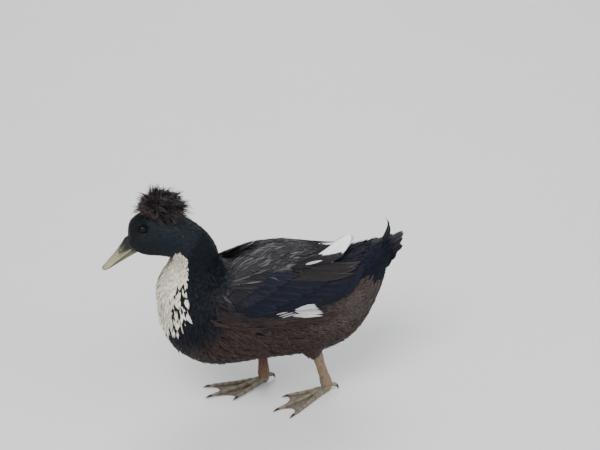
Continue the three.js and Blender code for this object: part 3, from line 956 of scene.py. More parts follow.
class Markings:
    """The body's colours and feather sizes by place.

    The bib's edge and the rump's are angles from the back by station; lengths, widths and the coat's depth
    are millimetres by station.
    """

    BIB_EDGE = staticmethod(
        profile((3.9, 200), (4.1, 182), (4.3, 140), (4.7, 104), (5.8, 98), (6.8, 97), (7.2, 99), (7.7, 102),
                (8.4, 107), (9.1, 113), (9.4, 122), (9.5, 128), (9.7, 141), (9.9, 158), (10, 182),
                (10.2, 200))
    )
    RUMP_EDGE = staticmethod(
        profile((13.4, 38), (14.2, 48), (14.8, 50), (15.4, 55), (16, 64), (17.1, 91), (18, 125))
    )
    LENGTH = staticmethod(
        profile((0, 3.4), (2, 4.6), (4, 6.5), (6, 9), (8, 13), (10, 17), (12, 20), (16, 20), (18, 15))
    )
    WIDTH = staticmethod(
        profile((0, 1.3), (2, 1.6), (4, 2.1), (6, 2.9), (8, 4.4), (10, 5.4), (12, 6), (16, 6), (18, 5))
    )
    DEPTH = staticmethod(profile((0, 0.8), (3, 1.3), (6, 1.8), (9, 2.6), (12, 3.2), (18, 2.6)))

    def __init__(self, random: Chance) -> None:
        """Takes the source of each feather's small differences."""
        self.random = random

    def colours(self, station: Array, degrees: Array) -> tuple[Array, Array]:
        """Web and rim colours at spots of the body, without the bib: layers over the head's colours.

        Args:
            station: Places along the body.
            degrees: Angles round it.

        Returns:
            Both colours of each spot.
        """
        at, turn = np.broadcast_arrays(station, np.abs(degrees))
        low = soft(turn, 66, 92)
        web = blend(Tone.FACE, Tone.HEAD, soft(at + turn / 90, 1.2, 2.6))
        # rims of head and neck: painted sheen, their own teal and blue lightened
        rim = blend(Tone.FACE, Tone.HEAD_TEAL_PAINTED_SHEEN, soft(at + turn / 90, 1.4, 3.0))
        web, rim = blend(web, Tone.NECK, soft(at, 4.6, 6.6)), blend(rim, Tone.NECK_BLUE_PAINTED_SHEEN, soft(at, 4.8, 7.0))
        back = blend(Tone.MANTLE, Tone.BREAST, low)
        back_rim = blend(Tone.MANTLE_EDGE, Tone.BREAST * 1.3, low)
        layers = (
            (back, back_rim, soft(at, 8.4, 9.8)),
            (Tone.FLANK, Tone.FLANK_EDGE, soft(at, 10.2, 11.5) * soft(turn, 66, 88)),
            (Tone.REAR, Tone.REAR_EDGE, soft(at, 13.2, 14.4) * soft(turn, 118, 90)),
            (Tone.RUMP, Tone.RUMP * 1.5, soft(self.RUMP_EDGE(at) - turn, -4, 3) * soft(at, 13.2, 13.8)),
            (Tone.UNDERTAIL, Tone.UNDERTAIL * 1.5, soft(at, 17.0, 17.7) * soft(turn, 90, 110)),
        )
        for over, over_rim, share in layers:
            web, rim = blend(web, over, share), blend(rim, over_rim, share)
        return web, rim

    @staticmethod
    def net(station: Array, inside: Array) -> Array:
        """Where the bib's lower border is strewn with dark, by degrees inside the bib."""
        return soft(station, 6.9, 7.5) * soft(inside, 46, 24)

    def for_skin(self, station: Array, degrees: Array) -> Array:
        """The skin's colour: the feathers' own, shaded, with an even edge to the bib.

        Args:
            station: Places along the body.
            degrees: Angles round it.

        Returns:
            One colour a spot.
        """
        web, rim = self.colours(station, degrees)
        inside = np.abs(degrees) - self.BIB_EDGE(station)
        share = soft(inside, -5, 7) * (1 - self.net(station, inside))
        return blend(blend(web, rim, 0.2) * 0.8, Tone.BIB * 0.85, share)

    def white(self, station: Array, degrees: Array) -> Array:
        """Which feathers are white: those in the bib, its border ragged and a dark net low down.

        Args:
            station: Places along the body.
            degrees: Angles round it.

        Returns:
            True for white ones.
        """
        stray, flaw = self.random.normal(0, 2.5, station.shape), self.random.normal(0, 0.12, station.shape)
        inside = np.abs(degrees) - self.BIB_EDGE(station + 0.3) + stray
        lattice = np.cos(station * TAU / 0.56) * np.cos(degrees * TAU / 13) + flaw
        return (inside > 0) & (lattice > 1.38 * self.net(station, inside) - 1.1)

    def for_feathers(self, station: Array, degrees: Array, white: Array) -> tuple[Array, Array]:
        """Web and rim colours of feathers, each a little different.

        Args:
            station: Where the feathers stand along the body.
            degrees: Where they stand round it.
            white: Which of them are white.

        Returns:
            Both colours of each feather.
        """
        web, rim = self.colours(station + 0.25, degrees)
        strength = 0.2 + 0.14 * soft(station, 5.0, 3.0)
        shade = np.maximum(1 + strength * self.random.normal(0, 1, station.shape), 0.3)[:, None]
        web, rim = web * shade, rim * self.random.uniform(0.6, 1.35, station.shape)[:, None]
        # white feathers: cream greyed by a random share of tone, plus painted shade at the bib's upper end
        # under the head; their rims take more painted shade
        grey_and_shade_share = self.random.random(station.shape) * 0.5 + 0.3 * soft(station, 7.5, 5.0)
        cream = blend(Tone.BIB, Tone.BIB_GREY_AND_PAINTED_SHADE, grey_and_shade_share)
        return blend(web, cream, white), blend(rim, blend(cream, Tone.BIB_GREY_AND_PAINTED_SHADE, 0.4), white)


# Sub-assemblies


@dataclass
class Skin:
    """The body under the feathers, one closed skin from the face to the tail's root, with both thighs.

    Attributes:
        rows: Rings along the body.
        columns: Points round it.
        nose: The foremost point, behind the bill.
        nose_sunk: How far the skin stays behind it.
    """

    rows: int = 260
    columns: int = 180
    nose: Triple = (-231, 0, 258)
    nose_sunk: float = 1.5
    finish: Finish = TintFinish("Skin_under_feathers", roughness=0.75, depth=0.3)

    def body(self, form: BodyForm, marks: Markings) -> Shape:
        """The form's surface sunk by the coat's depth, with both ends closed."""
        station = np.linspace(0, form.last, self.rows)[:, None]
        degrees = np.linspace(-180, 180, self.columns, endpoint=False)[None]
        rings = form.skin(station, degrees, -marks.DEPTH(station))
        front = form.turned(np.array(self.nose)) + (self.nose_sunk, 0, 0)
        first = np.broadcast_to(front, rings[0].shape)
        last = np.broadcast_to(rings[-1].mean(axis=0), rings[0].shape)
        body = sheet(np.concatenate([first[None], rings, last[None]]))
        return body.painted(marks.for_skin(*np.broadcast_arrays(station, degrees)))

    def build(self, shop: Workshop, marks: Markings, thighs: Sequence["Thigh"]) -> None:
        """Makes the skin.

        Args:
            shop: Where pieces are made.
            marks: Colours and sizes by place.
            thighs: Both thighs.
        """
        nodes = ("head", "neck", "torso", "thigh_left", "thigh_right")
        shape = Shape.joined([self.body(shop.form, marks)] + [thigh.flesh() for thigh in thighs])
        shop.piece("skin", shape, self.finish, nodes)


@dataclass
class Thigh:
    """A thigh: a tapering limb from the hip to the knee, with its own feathers.

    Attributes:
        side: Which leg it is.
        hip: Where it starts, within the body.
        knee: Where the bare shank begins.
        halves: Fore-aft and sideways half sizes at shares of the length.
        count: Number of feathers.
        sunk: How deep the flesh lies under the feathers.
    """

    side: Side
    hip: Triple
    knee: Triple
    halves: tuple[Triple, ...] = (
        (0, 33, 22), (0.55, 23, 19), (0.85, 12, 12), (1, 7, 6.5)
    )
    count: int = 900
    sunk: float = 1.8

    def sizes(self, share: Array) -> tuple[Array, Array]:
        """Half sizes at shares of the length."""
        places, fore, wide = zip(*self.halves)
        return np.interp(share, places, fore), np.interp(share, places, wide)

    def spot(self, share: Array, turn: Array, lift: Array | float) -> Array:
        """Points of the limb: middle line + fore * half * cos(turn) + across * half * sin(turn).

        Args:
            share: Shares of the length.
            turn: Angles round the limb.
            lift: Heights over the surface.

        Returns:
            The points.
        """
        hip, knee = np.array(self.hip), np.array(self.knee)
        down = unit(knee - hip)
        across = unit(np.array([0, 1.0, 0]) - down * down[1])
        fore = np.cross(across, down)
        deep, wide = self.sizes(share)
        centre = hip + (knee - hip) * share[..., None]
        deep, wide = (deep + lift) * np.cos(turn), (wide + lift) * np.sin(turn)
        return centre + fore * deep[..., None] + across * wide[..., None]

    def flesh(self) -> Shape:
        """The limb itself, inside its feathers."""
        around = full_turn(40)
        share, turn = np.meshgrid(even(30), around, indexing="ij")
        # the vent's colour darkened by a fifth: painted shade under the feathers
        return sheet(capped(self.spot(share, turn, -self.sunk))).painted(Tone.VENT * 0.8)

    def feathers(self, form: BodyForm, random: Chance) -> Shape:
        """Soft feathers that hang towards the knee."""
        u = even(5)
        root = random.uniform(0.25, 0.86, self.count)[:, None]
        turn = random.uniform(0, TAU, self.count)[:, None] + random.normal(0, 0.15, self.count)[:, None] * u
        share = root + u * random.uniform(0.14, 0.22, self.count)[:, None]
        lift = -self.sunk + u * random.uniform(1.6, 3.6, self.count)[:, None]
        centre = self.spot(share, turn, lift)
        walk = Walk.facing(centre, self.spot(share, turn, lift + 1) - centre)
        outline = profile((0, 0.6), (0.5, 1), (0.8, 0.7), (1, 0.15))(u) * 2.2
        half = np.broadcast_to(outline, (self.count, len(u)))
        light = random.uniform(0.7, 1.2, (self.count, 1))
        place = form.bake_place(12 + 3 * root[:, 0], self.side.value * (100 + 30 * turn[:, 0] / TAU))
        coat = Coat(Tone.VENT * light, Tone.FLANK_EDGE * light, place)
        return vanes(walk, half, half * 0.12, half * 0.1, coat, 3)

    def build(self, shop: Workshop, marks: Markings, finish: Finish) -> None:
        """Makes the thigh's feathers."""
        name = f"thigh_feathers_{self.side.word}"
        shop.piece(name, self.feathers(shop.form, marks.random), finish)


@dataclass
class Plumage:
    """Contour feathers in staggered rows over the body.

    Attributes:
        row_share: How much of a feather's length the next row leaves open.
        side_share: The spacing round the body over a feather's width.
        borders: Name, slot and end stations of each piece of the coat.
        eye_room: How near to an eye's middle no feather comes, in millimetres.
        fine_end: Pieces that end before this station have finer and stiffer feathers.
    """

    row_share: float = 0.24
    side_share: float = 0.62
    borders: tuple[tuple[str, str, float, float], ...] = (
        ("coat_face", "head_feathers", 0.1, 2.0),
        ("coat_cheeks", "head_feathers", 2.0, 3.6),
        ("coat_nape", "head_feathers", 3.6, 5.4),
        ("coat_neck", "neck_feathers", 5.4, 7.4),
        ("coat_neck_base", "neck_feathers", 7.4, 9.4),
        ("coat_breast", "body_feathers", 9.4, 11.6),
        ("coat_flanks", "body_feathers", 11.6, 14.4),
        ("coat_rear", "body_feathers", 14.4, 17.9),
    )
    eye_room: float = 6.2
    fine_end: float = 8

    def roots(self, form: BodyForm, marks: Markings, start: float, end: float) -> tuple[Array, Array]:
        """Root spots in staggered rows, stations and degrees.

        Args:
            form: The body.
            marks: Colours and sizes by place.
            start: First station.
            end: Last station.

        Returns:
            Stations and degrees.
        """
        stations, degrees = [], []
        at, row = start, 0
        while at < end:
            ring = form.skin(at, np.linspace(-180, 180, 49))
            around = np.linalg.norm(np.diff(ring, axis=0), axis=1).sum()
            count = int(around / (marks.WIDTH(at) * self.side_share))
            turn = (np.arange(count) + 0.5 * (row % 2)) * 360 / count - 180
            steps = np.linalg.norm(form.slopes(np.full(24, at), np.linspace(-180, 165, 24))[0], axis=1)
            pitch = marks.LENGTH(at) * self.row_share / np.percentile(steps, 60)
            stations.append(at + marks.random.uniform(-0.5, 0.5, count) * pitch)
            degrees.append(turn + marks.random.normal(0, 0.2, count) * 360 / count)
            at += pitch
            row += 1
        return np.clip(np.concatenate(stations), 0.05, form.last), np.concatenate(degrees)

    def shape(self, form: BodyForm, marks: Markings, start: float, end: float, eyes: Array) -> Shape:
        """The feathers rooted between two stations, clear of the eyes.

        Args:
            form: The body.
            marks: Colours and sizes by place.
            start: First station.
            end: Last station.
            eyes: Middles of both eyes.

        Returns:
            The mesh.
        """
        station, degrees = self.roots(form, marks, start, end)
        random, count = marks.random, len(station)
        small = end < self.fine_end
        along = even(4 if small else 5)
        size = random.uniform(0.8, 1.25, count)
        white = marks.white(station, degrees)
        drops = white * soft(station, 6.8, 7.6)
        fluff = white * random.exponential(0.7, count)
        depth = marks.DEPTH(station)[:, None]
        stand = random.uniform(0, 0.4, (count, 1)) + random.exponential(0.2 if small else 0.6, (count, 1))
        stand = np.minimum(stand + fluff[:, None], 3.2) + 0.6 * drops[:, None]
        lift = -depth * 1.1 + (depth * 1.2 + stand) * along**0.85
        lean = random.normal(0, 0.16, count)
        length = marks.LENGTH(station) * size * (1 + 0.25 * drops)
        walk = form.walk(station, degrees, length, lean, random.normal(0, 0.4, count), lift)
        near = np.linalg.norm(walk.centre[:, :, None] - eyes, axis=-1).min(axis=(1, 2))
        keep = near > self.eye_room
        walk = walk.only(keep)
        outline = profile((0, 0.5), (0.35, 0.95), (0.6, 1.0), (0.85, 0.66), (1, 0.14))(along)
        half = (marks.WIDTH(station) * (1 + 0.2 * drops) * size / 2)[keep, None] * outline
        web, rim = marks.for_feathers(station, degrees, white)
        coat = Coat(web[keep], rim[keep], form.bake_place(station, degrees)[keep])
        return vanes(walk, half, 0.1 + half * 0.08, half * 0.12, coat, 3)

    def build(self, shop: Workshop, marks: Markings, eyes: Sequence["Eye"]) -> None:
        """Makes the coat's pieces.

        Args:
            shop: Where pieces are made.
            marks: Colours and sizes by place.
            eyes: Both eyes.
        """
        middles = np.array([eye.centre(shop.form) for eye in eyes])
        for name, slot, start, end in self.borders:
            shop.piece(name, self.shape(shop.form, marks, start, end, middles), COATS[slot])


@dataclass
class Tier:
    """Feathers side by side; places are (station, degrees) of the first and the last one.

    Attributes:
        count: Number of feathers.
        roots: Where the first and last feathers start.
        tips: Where they end.
        lift: Heights over the body at root and tip.
        width: Full width of a feather.
        web: Colour.
        rim: Edge colour.
        spread: How far roots and tips stray, in degrees.
        point: Share of the width left near the tip.
        rows: Points along a feather.
    """

    count: int
    roots: tuple[Pair, Pair]
    tips: tuple[Pair, Pair]
    lift: Pair
    width: float
    web: Array
    rim: Array
    spread: float = 0.6
    point: float = 0.8
    rows: int = 12

    def shape(self, form: BodyForm, side: int, random: Chance) -> Shape:
        """The tier on one side: stations and degrees run straight from root to tip.

        Args:
            form: The body.
            side: Sign of the side's y.
            random: Source of the feathers' differences.

        Returns:
            The mesh.
        """
        v = even(self.count)[:, None] if self.count > 1 else np.zeros((1, 1))
        u = even(self.rows)[None]
        first, last = (np.array(ends)[0] + np.diff(ends, axis=0) * v for ends in (self.roots, self.tips))
        first = first + random.normal(0, self.spread, first.shape) * (0.05, 1)
        last = last + random.normal(0, self.spread, last.shape) * (0.06, 1)
        station = first[:, :1] + (last[:, :1] - first[:, :1]) * u
        degrees = side * (first[:, 1:] + (last[:, 1:] - first[:, 1:]) * u)
        rise = self.lift[0] + (self.lift[1] - self.lift[0]) * u
        second = (np.arange(self.count) % 2)[:, None]
        lift = rise + 0.35 * second + random.uniform(0, 0.5, (self.count, 1)) * u
        walk = form.along(station, degrees, lift)
        blunt = ((0.86, self.point), (0.95, self.point * 0.6), (1, 0.1))
        outline = profile((0, 0.5), (0.25, 0.95), (0.6, 1.0), *blunt)(u)
        half = outline * self.width / 2 * random.uniform(0.9, 1.1, (self.count, 1))
        web = self.web * random.uniform(0.75, 1.25, (self.count, 1))
        rim = self.rim * random.uniform(0.6, 1.3, (self.count, 1))
        coat = Coat(web, rim, form.bake_place(first[:, 0], side * first[:, 1]))
        return vanes(walk, half, 0.15 + half * 0.04, half * 0.1, coat)


def wing_tiers() -> tuple[Tier, ...]:
    """The wing's feathers, from the flight feathers under the flank up to the shoulder.

    Returns:
        The tiers.
    """
    navy, covert = (Tone.NAVY, Tone.NAVY_EDGE), (Tone.COVERT, Tone.COVERT_EDGE)
    tertial = (Tone.TERTIAL, Tone.TERTIAL_EDGE)
    return (
        Tier(8, ((13.0, 72), (13.4, 50)), ((15.0, 56), (15.9, 36)), (1.2, 2.4), 12, *navy),
        Tier(13, ((11.2, 81), (12.9, 48)), ((12.9, 80), (15.0, 48)), (1.6, 3.2), 10, *navy),
        Tier(13, ((10.6, 76), (12.1, 42)), ((11.9, 80), (13.9, 48)), (2.0, 3.9), 9, *navy),
        Tier(12, ((10.2, 66), (11.2, 36)), ((11.2, 74), (12.8, 42)), (2.2, 4.4), 8.5, navy[0], covert[1]),
        Tier(13, ((9.9, 62), (10.5, 32)), ((10.7, 68), (11.8, 38)), (1.6, 4.4), 7.5, *covert),
        Tier(6, ((12.5, 43), (12.9, 28)), ((14.9, 41), (15.5, 29)), (3.4, 5.0), 8, *tertial, 1.5, 0.5),
    )


def accent_tiers() -> tuple[Tier, ...]:
    """White tips and dashes at the wing's lower edge, and pale edges below them.

    Returns:
        The tiers.
    """
    white, pale = (Tone.GREY_WHITE, Tone.GREY_WHITE * 0.7), (Tone.FLANK, Tone.TERTIAL_EDGE)
    # shadow: flank feathers darkened halfway to the breast's navy, painted shadow below the wing's lower edge
    # at its front
    flank, shadow = (Tone.FLANK, Tone.FLANK), ((Tone.FLANK + Tone.BREAST) / 2, Tone.FLANK)
    return (
        Tier(10, ((12.6, 80.5), (12.95, 74)), ((13.72, 80.5), (13.4, 70)), (2.8, 4.8), 5.6, *white, 0.4, 0.5),
        Tier(3, ((12.4, 78), (12.6, 81.5)), ((12.72, 76), (12.95, 78)), (4.4, 5.0), 1.8, *white, 0.3, 0.5),
        Tier(5, ((11.9, 84), (12.5, 83)), ((12.7, 88), (13.3, 81)), (2.4, 4.2), 4.5, *pale, 0.6, 0.5),
        Tier(60, ((10.3, 90), (13.0, 86)), ((11.4, 87), (14.2, 82)), (0.4, 3.4), 4, *flank, 4, 0.4),
        Tier(50, ((9.8, 80), (12.0, 85)), ((10.8, 82), (13.0, 83)), (0.8, 3.4), 4, *shadow, 4, 0.4),
    )


@dataclass
class Plumes:
    """Long shaggy plumes over shoulder and back.

    Attributes:
        side: Which side they lie on.
        count: Their number.
        start: The foremost station.
        reach: Stations from there to the rearmost ones.
        length: Shortest and longest plume.
        width: Narrowest and broadest plume.
        light_share: The share of pale ones.
        rows: Points along a plume.
        border: Their lowest angle by station.
        sweep: Their lean by angle, in degrees.
    """

    side: Side
    count: int = 1700
    start: float = 9.5
    reach: float = 3.2
    length: Pair = (24, 46)
    width: Pair = (2.4, 5.4)
    light_share: float = 0.2
    rows: int = 7
    border: ClassVar[Profile] = staticmethod(profile((9.5, 66), (10.4, 54), (11.2, 42), (12.8, 34)))
    sweep: ClassVar[Profile] = staticmethod(profile((0, -8), (15, -20), (30, -12), (45, 6), (62, 18)))
    finish: Finish = VaneFinish("Plumes", 0.5, 0.05, gloss=0.25, rim=0.16, barbs=50, depth=0.1)

    def shape(self, form: BodyForm, random: Chance) -> Shape:
        """Plumes that sweep down at the shoulder and up towards the ridge of the back."""
        count, u = self.count, even(self.rows)
        station = np.sort(self.start + self.reach * random.random(count))[::-1]
        degrees = 0.5 + (self.border(station) - 0.5) * random.random(count)
        lean = np.radians(self.sweep(degrees)) + random.normal(0, 0.17, count)
        curl = random.normal(0.1, 0.45, count)
        loose = 0.3 + 0.7 * soft(degrees, 6, 20)[:, None]
        rise = random.uniform(1.5, 3.6, (count, 1))
        rise = rise + np.minimum(random.exponential(0.8, (count, 1)), 3.5) * loose
        lift = 0.2 + rise * u**1.2 - 1.2 * u**3
        side = self.side.value
        length = random.uniform(*self.length, count)
        walk = form.walk(station, side * degrees, length, side * lean, side * curl, lift)
        outline = profile((0, 0.6), (0.25, 1), (0.6, 0.85), (0.85, 0.45), (1, 0.06))(u)
        half = random.uniform(*self.width, (count, 1)) / 2 * outline
        light = (random.random((count, 1)) < self.light_share) * random.uniform(0.25, 0.75, (count, 1))
        shade = random.uniform(0.55, 1.45, (count, 1))
        web = blend(Tone.MANTLE * shade, Tone.PLUME_LIGHT, light[:, 0])
        rim = blend(Tone.MANTLE_EDGE * shade, Tone.PLUME_LIGHT, light[:, 0])
        place = form.bake_place(station, side * degrees)
        return vanes(walk, half, 0.1 + half * 0.05, half * 0.2, Coat(web, rim, place), 3)

    def build(self, shop: Workshop, marks: Markings) -> None:
        """Makes the plumes."""
        shape = self.shape(shop.form, marks.random)
        shop.piece(f"plumes_{self.side.word}", shape, self.finish)


@dataclass
class Wing:
    """A folded wing: a rounded pad with tiers of feathers over it.

    Attributes:
        side: Which wing it is.
        pad_start: The pad's foremost station.
        pad_reach: Stations from there to its end.
        swell: How far the pad's middle stands out.
        tiers: The feathers.
        accents: White and pale feathers over them.
    """

    side: Side
    pad_start: float = 10
    pad_reach: float = 3.9
    swell: float = 2.2
    tiers: tuple[Tier, ...] = field(default_factory=wing_tiers)
    accents: tuple[Tier, ...] = field(default_factory=accent_tiers)
    finish: Finish = VaneFinish("Wing_feathers", 0.42, 0.02, gloss=0.15, rim=0.1, barbs=70, depth=0.08)
    under: Finish = TintFinish("Wing_under_feathers", roughness=0.7)

    def pad(self, form: BodyForm) -> Shape:
        """The rounded pad: outer rings lifted by a swell, inner ones under the body's surface."""
        u = even(40)[:, None]
        v = even(24)[None]
        top, low = 30 - 6 * u, 72 - 6 * u + 10 * np.sin(np.pi * u)
        swell = np.sin(np.pi * (0.1 + 0.8 * u)) ** 0.6 * np.sin(np.pi * (0.06 + 0.88 * v)) ** 0.6
        station = self.pad_start + self.pad_reach * u
        turn = lambda v: self.side.value * (top + (low - top) * v)
        outer = form.skin(station, turn(v), 0.2 + self.swell * swell)
        inner = form.skin(station, turn(v[:, ::-1]), -3)
        return sheet(capped(np.concatenate([outer, inner], axis=1))).painted(Tone.COVERT)

    def build(self, shop: Workshop, marks: Markings) -> None:
        """Makes the wing's pieces."""
        word, side = self.side.word, self.side.value
        shop.piece(f"wing_pad_{word}", self.pad(shop.form), self.under)
        shapes = [tier.shape(shop.form, side, marks.random) for tier in self.tiers + self.accents]
        feathers = Shape.joined(shapes)
        shop.piece(f"wing_feathers_{word}", feathers, self.finish, (f"wing_{word}",))
        Plumes(self.side).build(shop, marks)


def beside_tiers() -> tuple[Tier, ...]:
    """A pale narrow feather before the loose one, and dark feathers that hide its root.

    Returns:
        The tiers.
    """
    pale, dark = (Tone.GREY_WHITE, Tone.PLUME_LIGHT), (Tone.MANTLE, Tone.MANTLE_EDGE)
    return (
        Tier(1, ((13.0, 30), (13.0, 30)), ((13.65, 24), (13.65, 24)), (6.4, 7.6), 3.6, *pale, 0.1, 0.5),
        Tier(9, ((12.5, 34), (13.4, 25)), ((13.85, 17), (14.75, 14)), (4.2, 8.0), 9, *dark, 1.2, 0.6),
    )


@dataclass
class LooseFeather:
    """The white feather that lies loose across the rump.

    Attributes:
        root: Station, degrees and lift of its root in the left wing.
        tip: The same for its tip.
        width: Its full width.
        beside: The feathers about its root.
    """

    root: Triple = (13.5, -24, 1.5)
    tip: Triple = (15.75, 18, 14)
    width: float = 23
    beside: tuple[Tier, ...] = field(default_factory=beside_tiers)
    finish: Finish = VaneFinish("White_feather", 0.55, 0.0, rim=0.06, barbs=110, depth=0.12, mottle=0.12)

    def build(self, shop: Workshop, marks: Markings) -> None:
        """Makes the feather, blunt at its tip, and the ones about its root."""
        u = even(40)[None]
        station, degrees = (a + (b - a) * u for a, b in zip(self.root[:2], self.tip[:2]))
        lift = self.root[2] + (self.tip[2] - self.root[2]) * u**1.3
        walk = shop.form.along(station, degrees, lift)
        outline = profile((0, 0.7), (0.2, 0.95), (0.5, 1.0), (0.88, 0.95), (0.95, 0.78), (1, 0.45))(u)
        half = outline * self.width / 2
        place = shop.form.bake_place(station[:, 0], degrees[:, 0])
        coat = Coat(np.array([Tone.WHITE]), np.array([Tone.GREY_WHITE]), place)
        shape = vanes(walk, half, 0.25 + half * 0.03, half * 0.06, coat, 11)
        shop.piece("loose_feather", shape, self.finish)
        near = [tier.shape(shop.form, Side.LEFT.value, marks.random) for tier in self.beside]
        shop.piece("cover_feathers", Shape.joined(near), Wing.finish)


@dataclass
class Tail:
    """The raised fan of tail feathers with its coverts and the curled middle feathers.

    Attributes:
        root: Where the feathers spring from.
        rise: The fan's slope over level.
        half_fan: Half the fan's opening.
        core: x, z, half width and half height down the flattened root.
        curl_base: Where the curled feathers stand.
        curl_size: Their size.
        shortening: How much shorter the outermost feathers are.
        rows: Points along a feather.
    """

    root: Triple = (100, 0, 189)
    rise: float = np.radians(29)
    half_fan: float = np.radians(19)
    core: tuple[tuple[float, float, float, float], ...] = (
        (100, 178, 32, 29), (118, 188, 29, 17), (133, 198, 19, 6)
    )
    curl_base: Triple = (123, -2, 208)
    curl_size: float = 33
    shortening: float = 0.46
    rows: int = 14
    finish: Finish = VaneFinish("Tail_feathers", 0.42, 0.06, gloss=0.15, rim=0.1, barbs=90, depth=0.1)
    under: Finish = TintFinish("Tail_root", roughness=0.7)

    def walk(self, share: Array, length: Array, drop: Array, roof: float) -> Walk:
        """Feather lines by their share of the fan from -1 to 1.

        A line is root + along * distance - normal * 3u^2, the side feathers being shorter by a part of
        their share's square and lying lower.

        Args:
            share: Places in the fan.
            length: The middle feather's length, one a line.
            drop: How far a line lies under the fan's middle plane.
            roof: How much lower the side ones lie.

        Returns:
            The lines.
        """
        turn, square = share * self.half_fan, share**2
        reach = length * (1 - self.shortening * square)
        rise = self.rise - 0.1 * square
        along = np.stack([np.cos(turn) * np.cos(rise), np.sin(turn) * np.cos(rise), np.sin(rise)], -1)
        normal = np.stack([-np.sin(rise), 0.42 * share, np.cos(rise)], -1)
        normal = squared(normal, along)
        root = np.array(self.root) + np.stack([0 * share, 11 * share, -drop - roof * square], -1)
        u = even(self.rows)[None, :, None]
        centre = root[:, None] + along[:, None] * reach[:, None, None] * u - normal[:, None] * 3 * u**2
        wide = lambda vectors: np.broadcast_to(vectors[:, None], centre.shape)
        return Walk(centre, wide(np.cross(normal, along)), wide(normal))

    def layer(
        self,
        form: BodyForm,
        random: Chance,
        share: Array,
        length: Array | float,
        drop: Array | float,
        width: float,
        tones: tuple[Array, Array],
        roof: float = 9.0,
    ) -> Shape:
        """Feathers of one layer of the fan.

        Args:
            form: The body.
            random: Source of the feathers' differences.
            share: Places in the fan.
            length: Lengths.
            drop: Heights under the fan's middle plane.
            width: Full width of a feather.
            tones: Web and rim colours.
            roof: How much lower the side ones lie.

        Returns:
            The mesh.
        """
        stray = random.normal(0, 0.02, share.shape)
        walk = self.walk(share + stray, length * random.uniform(0.93, 1.05, share.shape), drop, roof)
        u = even(self.rows)
        outline = profile((0, 0.6), (0.3, 1.0), (0.78, 0.95), (0.92, 0.66), (1, 0.12))(u)
        half = np.broadcast_to(outline * width / 2, (len(share), self.rows))
        light = random.uniform(0.75, 1.15, (len(share), 1))
        place = form.bake_place(np.full(len(share), 17.5), share * 60 + 90 * np.sign(np.mean(drop) - 10))
        coat = Coat(tones[0] * light, tones[1] * light, place)
        return vanes(walk, half, 0.15 + half * 0.04, half * 0.1, coat, 7)

    def fan(self, form: BodyForm, random: Chance) -> Shape:
        """The fan, the coverts over it and those under it."""
        main, over, under = (np.linspace(-1, 1, count) for count in (20, 12, 10))
        aside, bend, keel = np.abs(main), 3 * np.abs(over), np.abs(under)
        edge = (Tone.RUMP, blend(Tone.TAIL_EDGE, Tone.RUMP * 1.4, soft(aside, 0.2, 0.6)))
        dark = (Tone.RUMP, Tone.RUMP * 1.6)
        below = (Tone.UNDERTAIL, Tone.UNDERTAIL * 1.8)
        plan = (
            (main, 61, 5.6 * aside, 14, edge),
            (over * 0.85, 43, bend - 7.5, 12, dark),
            (over * 0.9, 33, bend - 11, 12, dark),
            (over * 0.9, 23, bend - 14, 12, dark),
            (under * 0.8, 47 - 8 * keel, 17, 13, below, 4),
            (under * 0.8, 38 - 6 * keel, 22, 13, below, 4),
            (under * 0.8, 30 - 4 * keel, 27, 13, below, 4),
        )
        return Shape.joined([self.layer(form, random, *row) for row in plan])

    def stump(self) -> Shape:
        """The flattened root that carries the feathers."""
        x, z, wide, high = (np.array(column)[:, None] for column in zip(*self.core))
        turn = full_turn(48)[None]
        up, across = (high - 1) * np.cos(turn), (wide - 1) * np.sin(turn)
        return sheet(capped(np.stack([x - 0.45 * up, across, z + 0.9 * up], -1))).painted(Tone.RUMP)

    def curls(self, form: BodyForm) -> Shape:
        """The drake's curled feathers: they stand up and roll forward at the tip."""
        share = np.array([-1.0, 1.0])[:, None]
        u = even(26)[None]
        size = self.curl_size + 2 * share
        swing = 0.5 + 1.5 * u**1.4 + 0 * share
        along = np.stack([np.cos(swing), 0 * swing, np.sin(swing)], -1)
        across = np.broadcast_to([0.0, 1.0, 0.0], along.shape)
        forward, rise = size * (0.62 * u - 0.46 * u**3), size * (1.12 * u - 0.12 * u**2)
        path = np.stack([forward, share * (2 + 1.5 * u), rise], -1)
        walk = Walk(np.array(self.curl_base) + path, across, np.cross(along, across))
        half = np.repeat(profile((0, 5.2), (0.4, 5.0), (0.8, 2.6), (1, 0.4))(u), 2, axis=0)
        tint = np.repeat([Tone.RUMP], 2, axis=0)
        coat = Coat(tint, tint * 1.5, form.bake_place(np.full(2, 17.8), np.array([-4.0, 4.0])))
        return vanes(walk, half, 0.1 + half * 0.1, half * 0.3, coat, 7)

    def build(self, shop: Workshop, marks: Markings) -> None:
        """Makes the tail's pieces."""
        shape = Shape.joined([self.fan(shop.form, marks.random), self.curls(shop.form)])
        shop.piece("tail_feathers", shape, self.finish, ("tail",))
        shop.piece("tail_root", self.stump(), self.under)


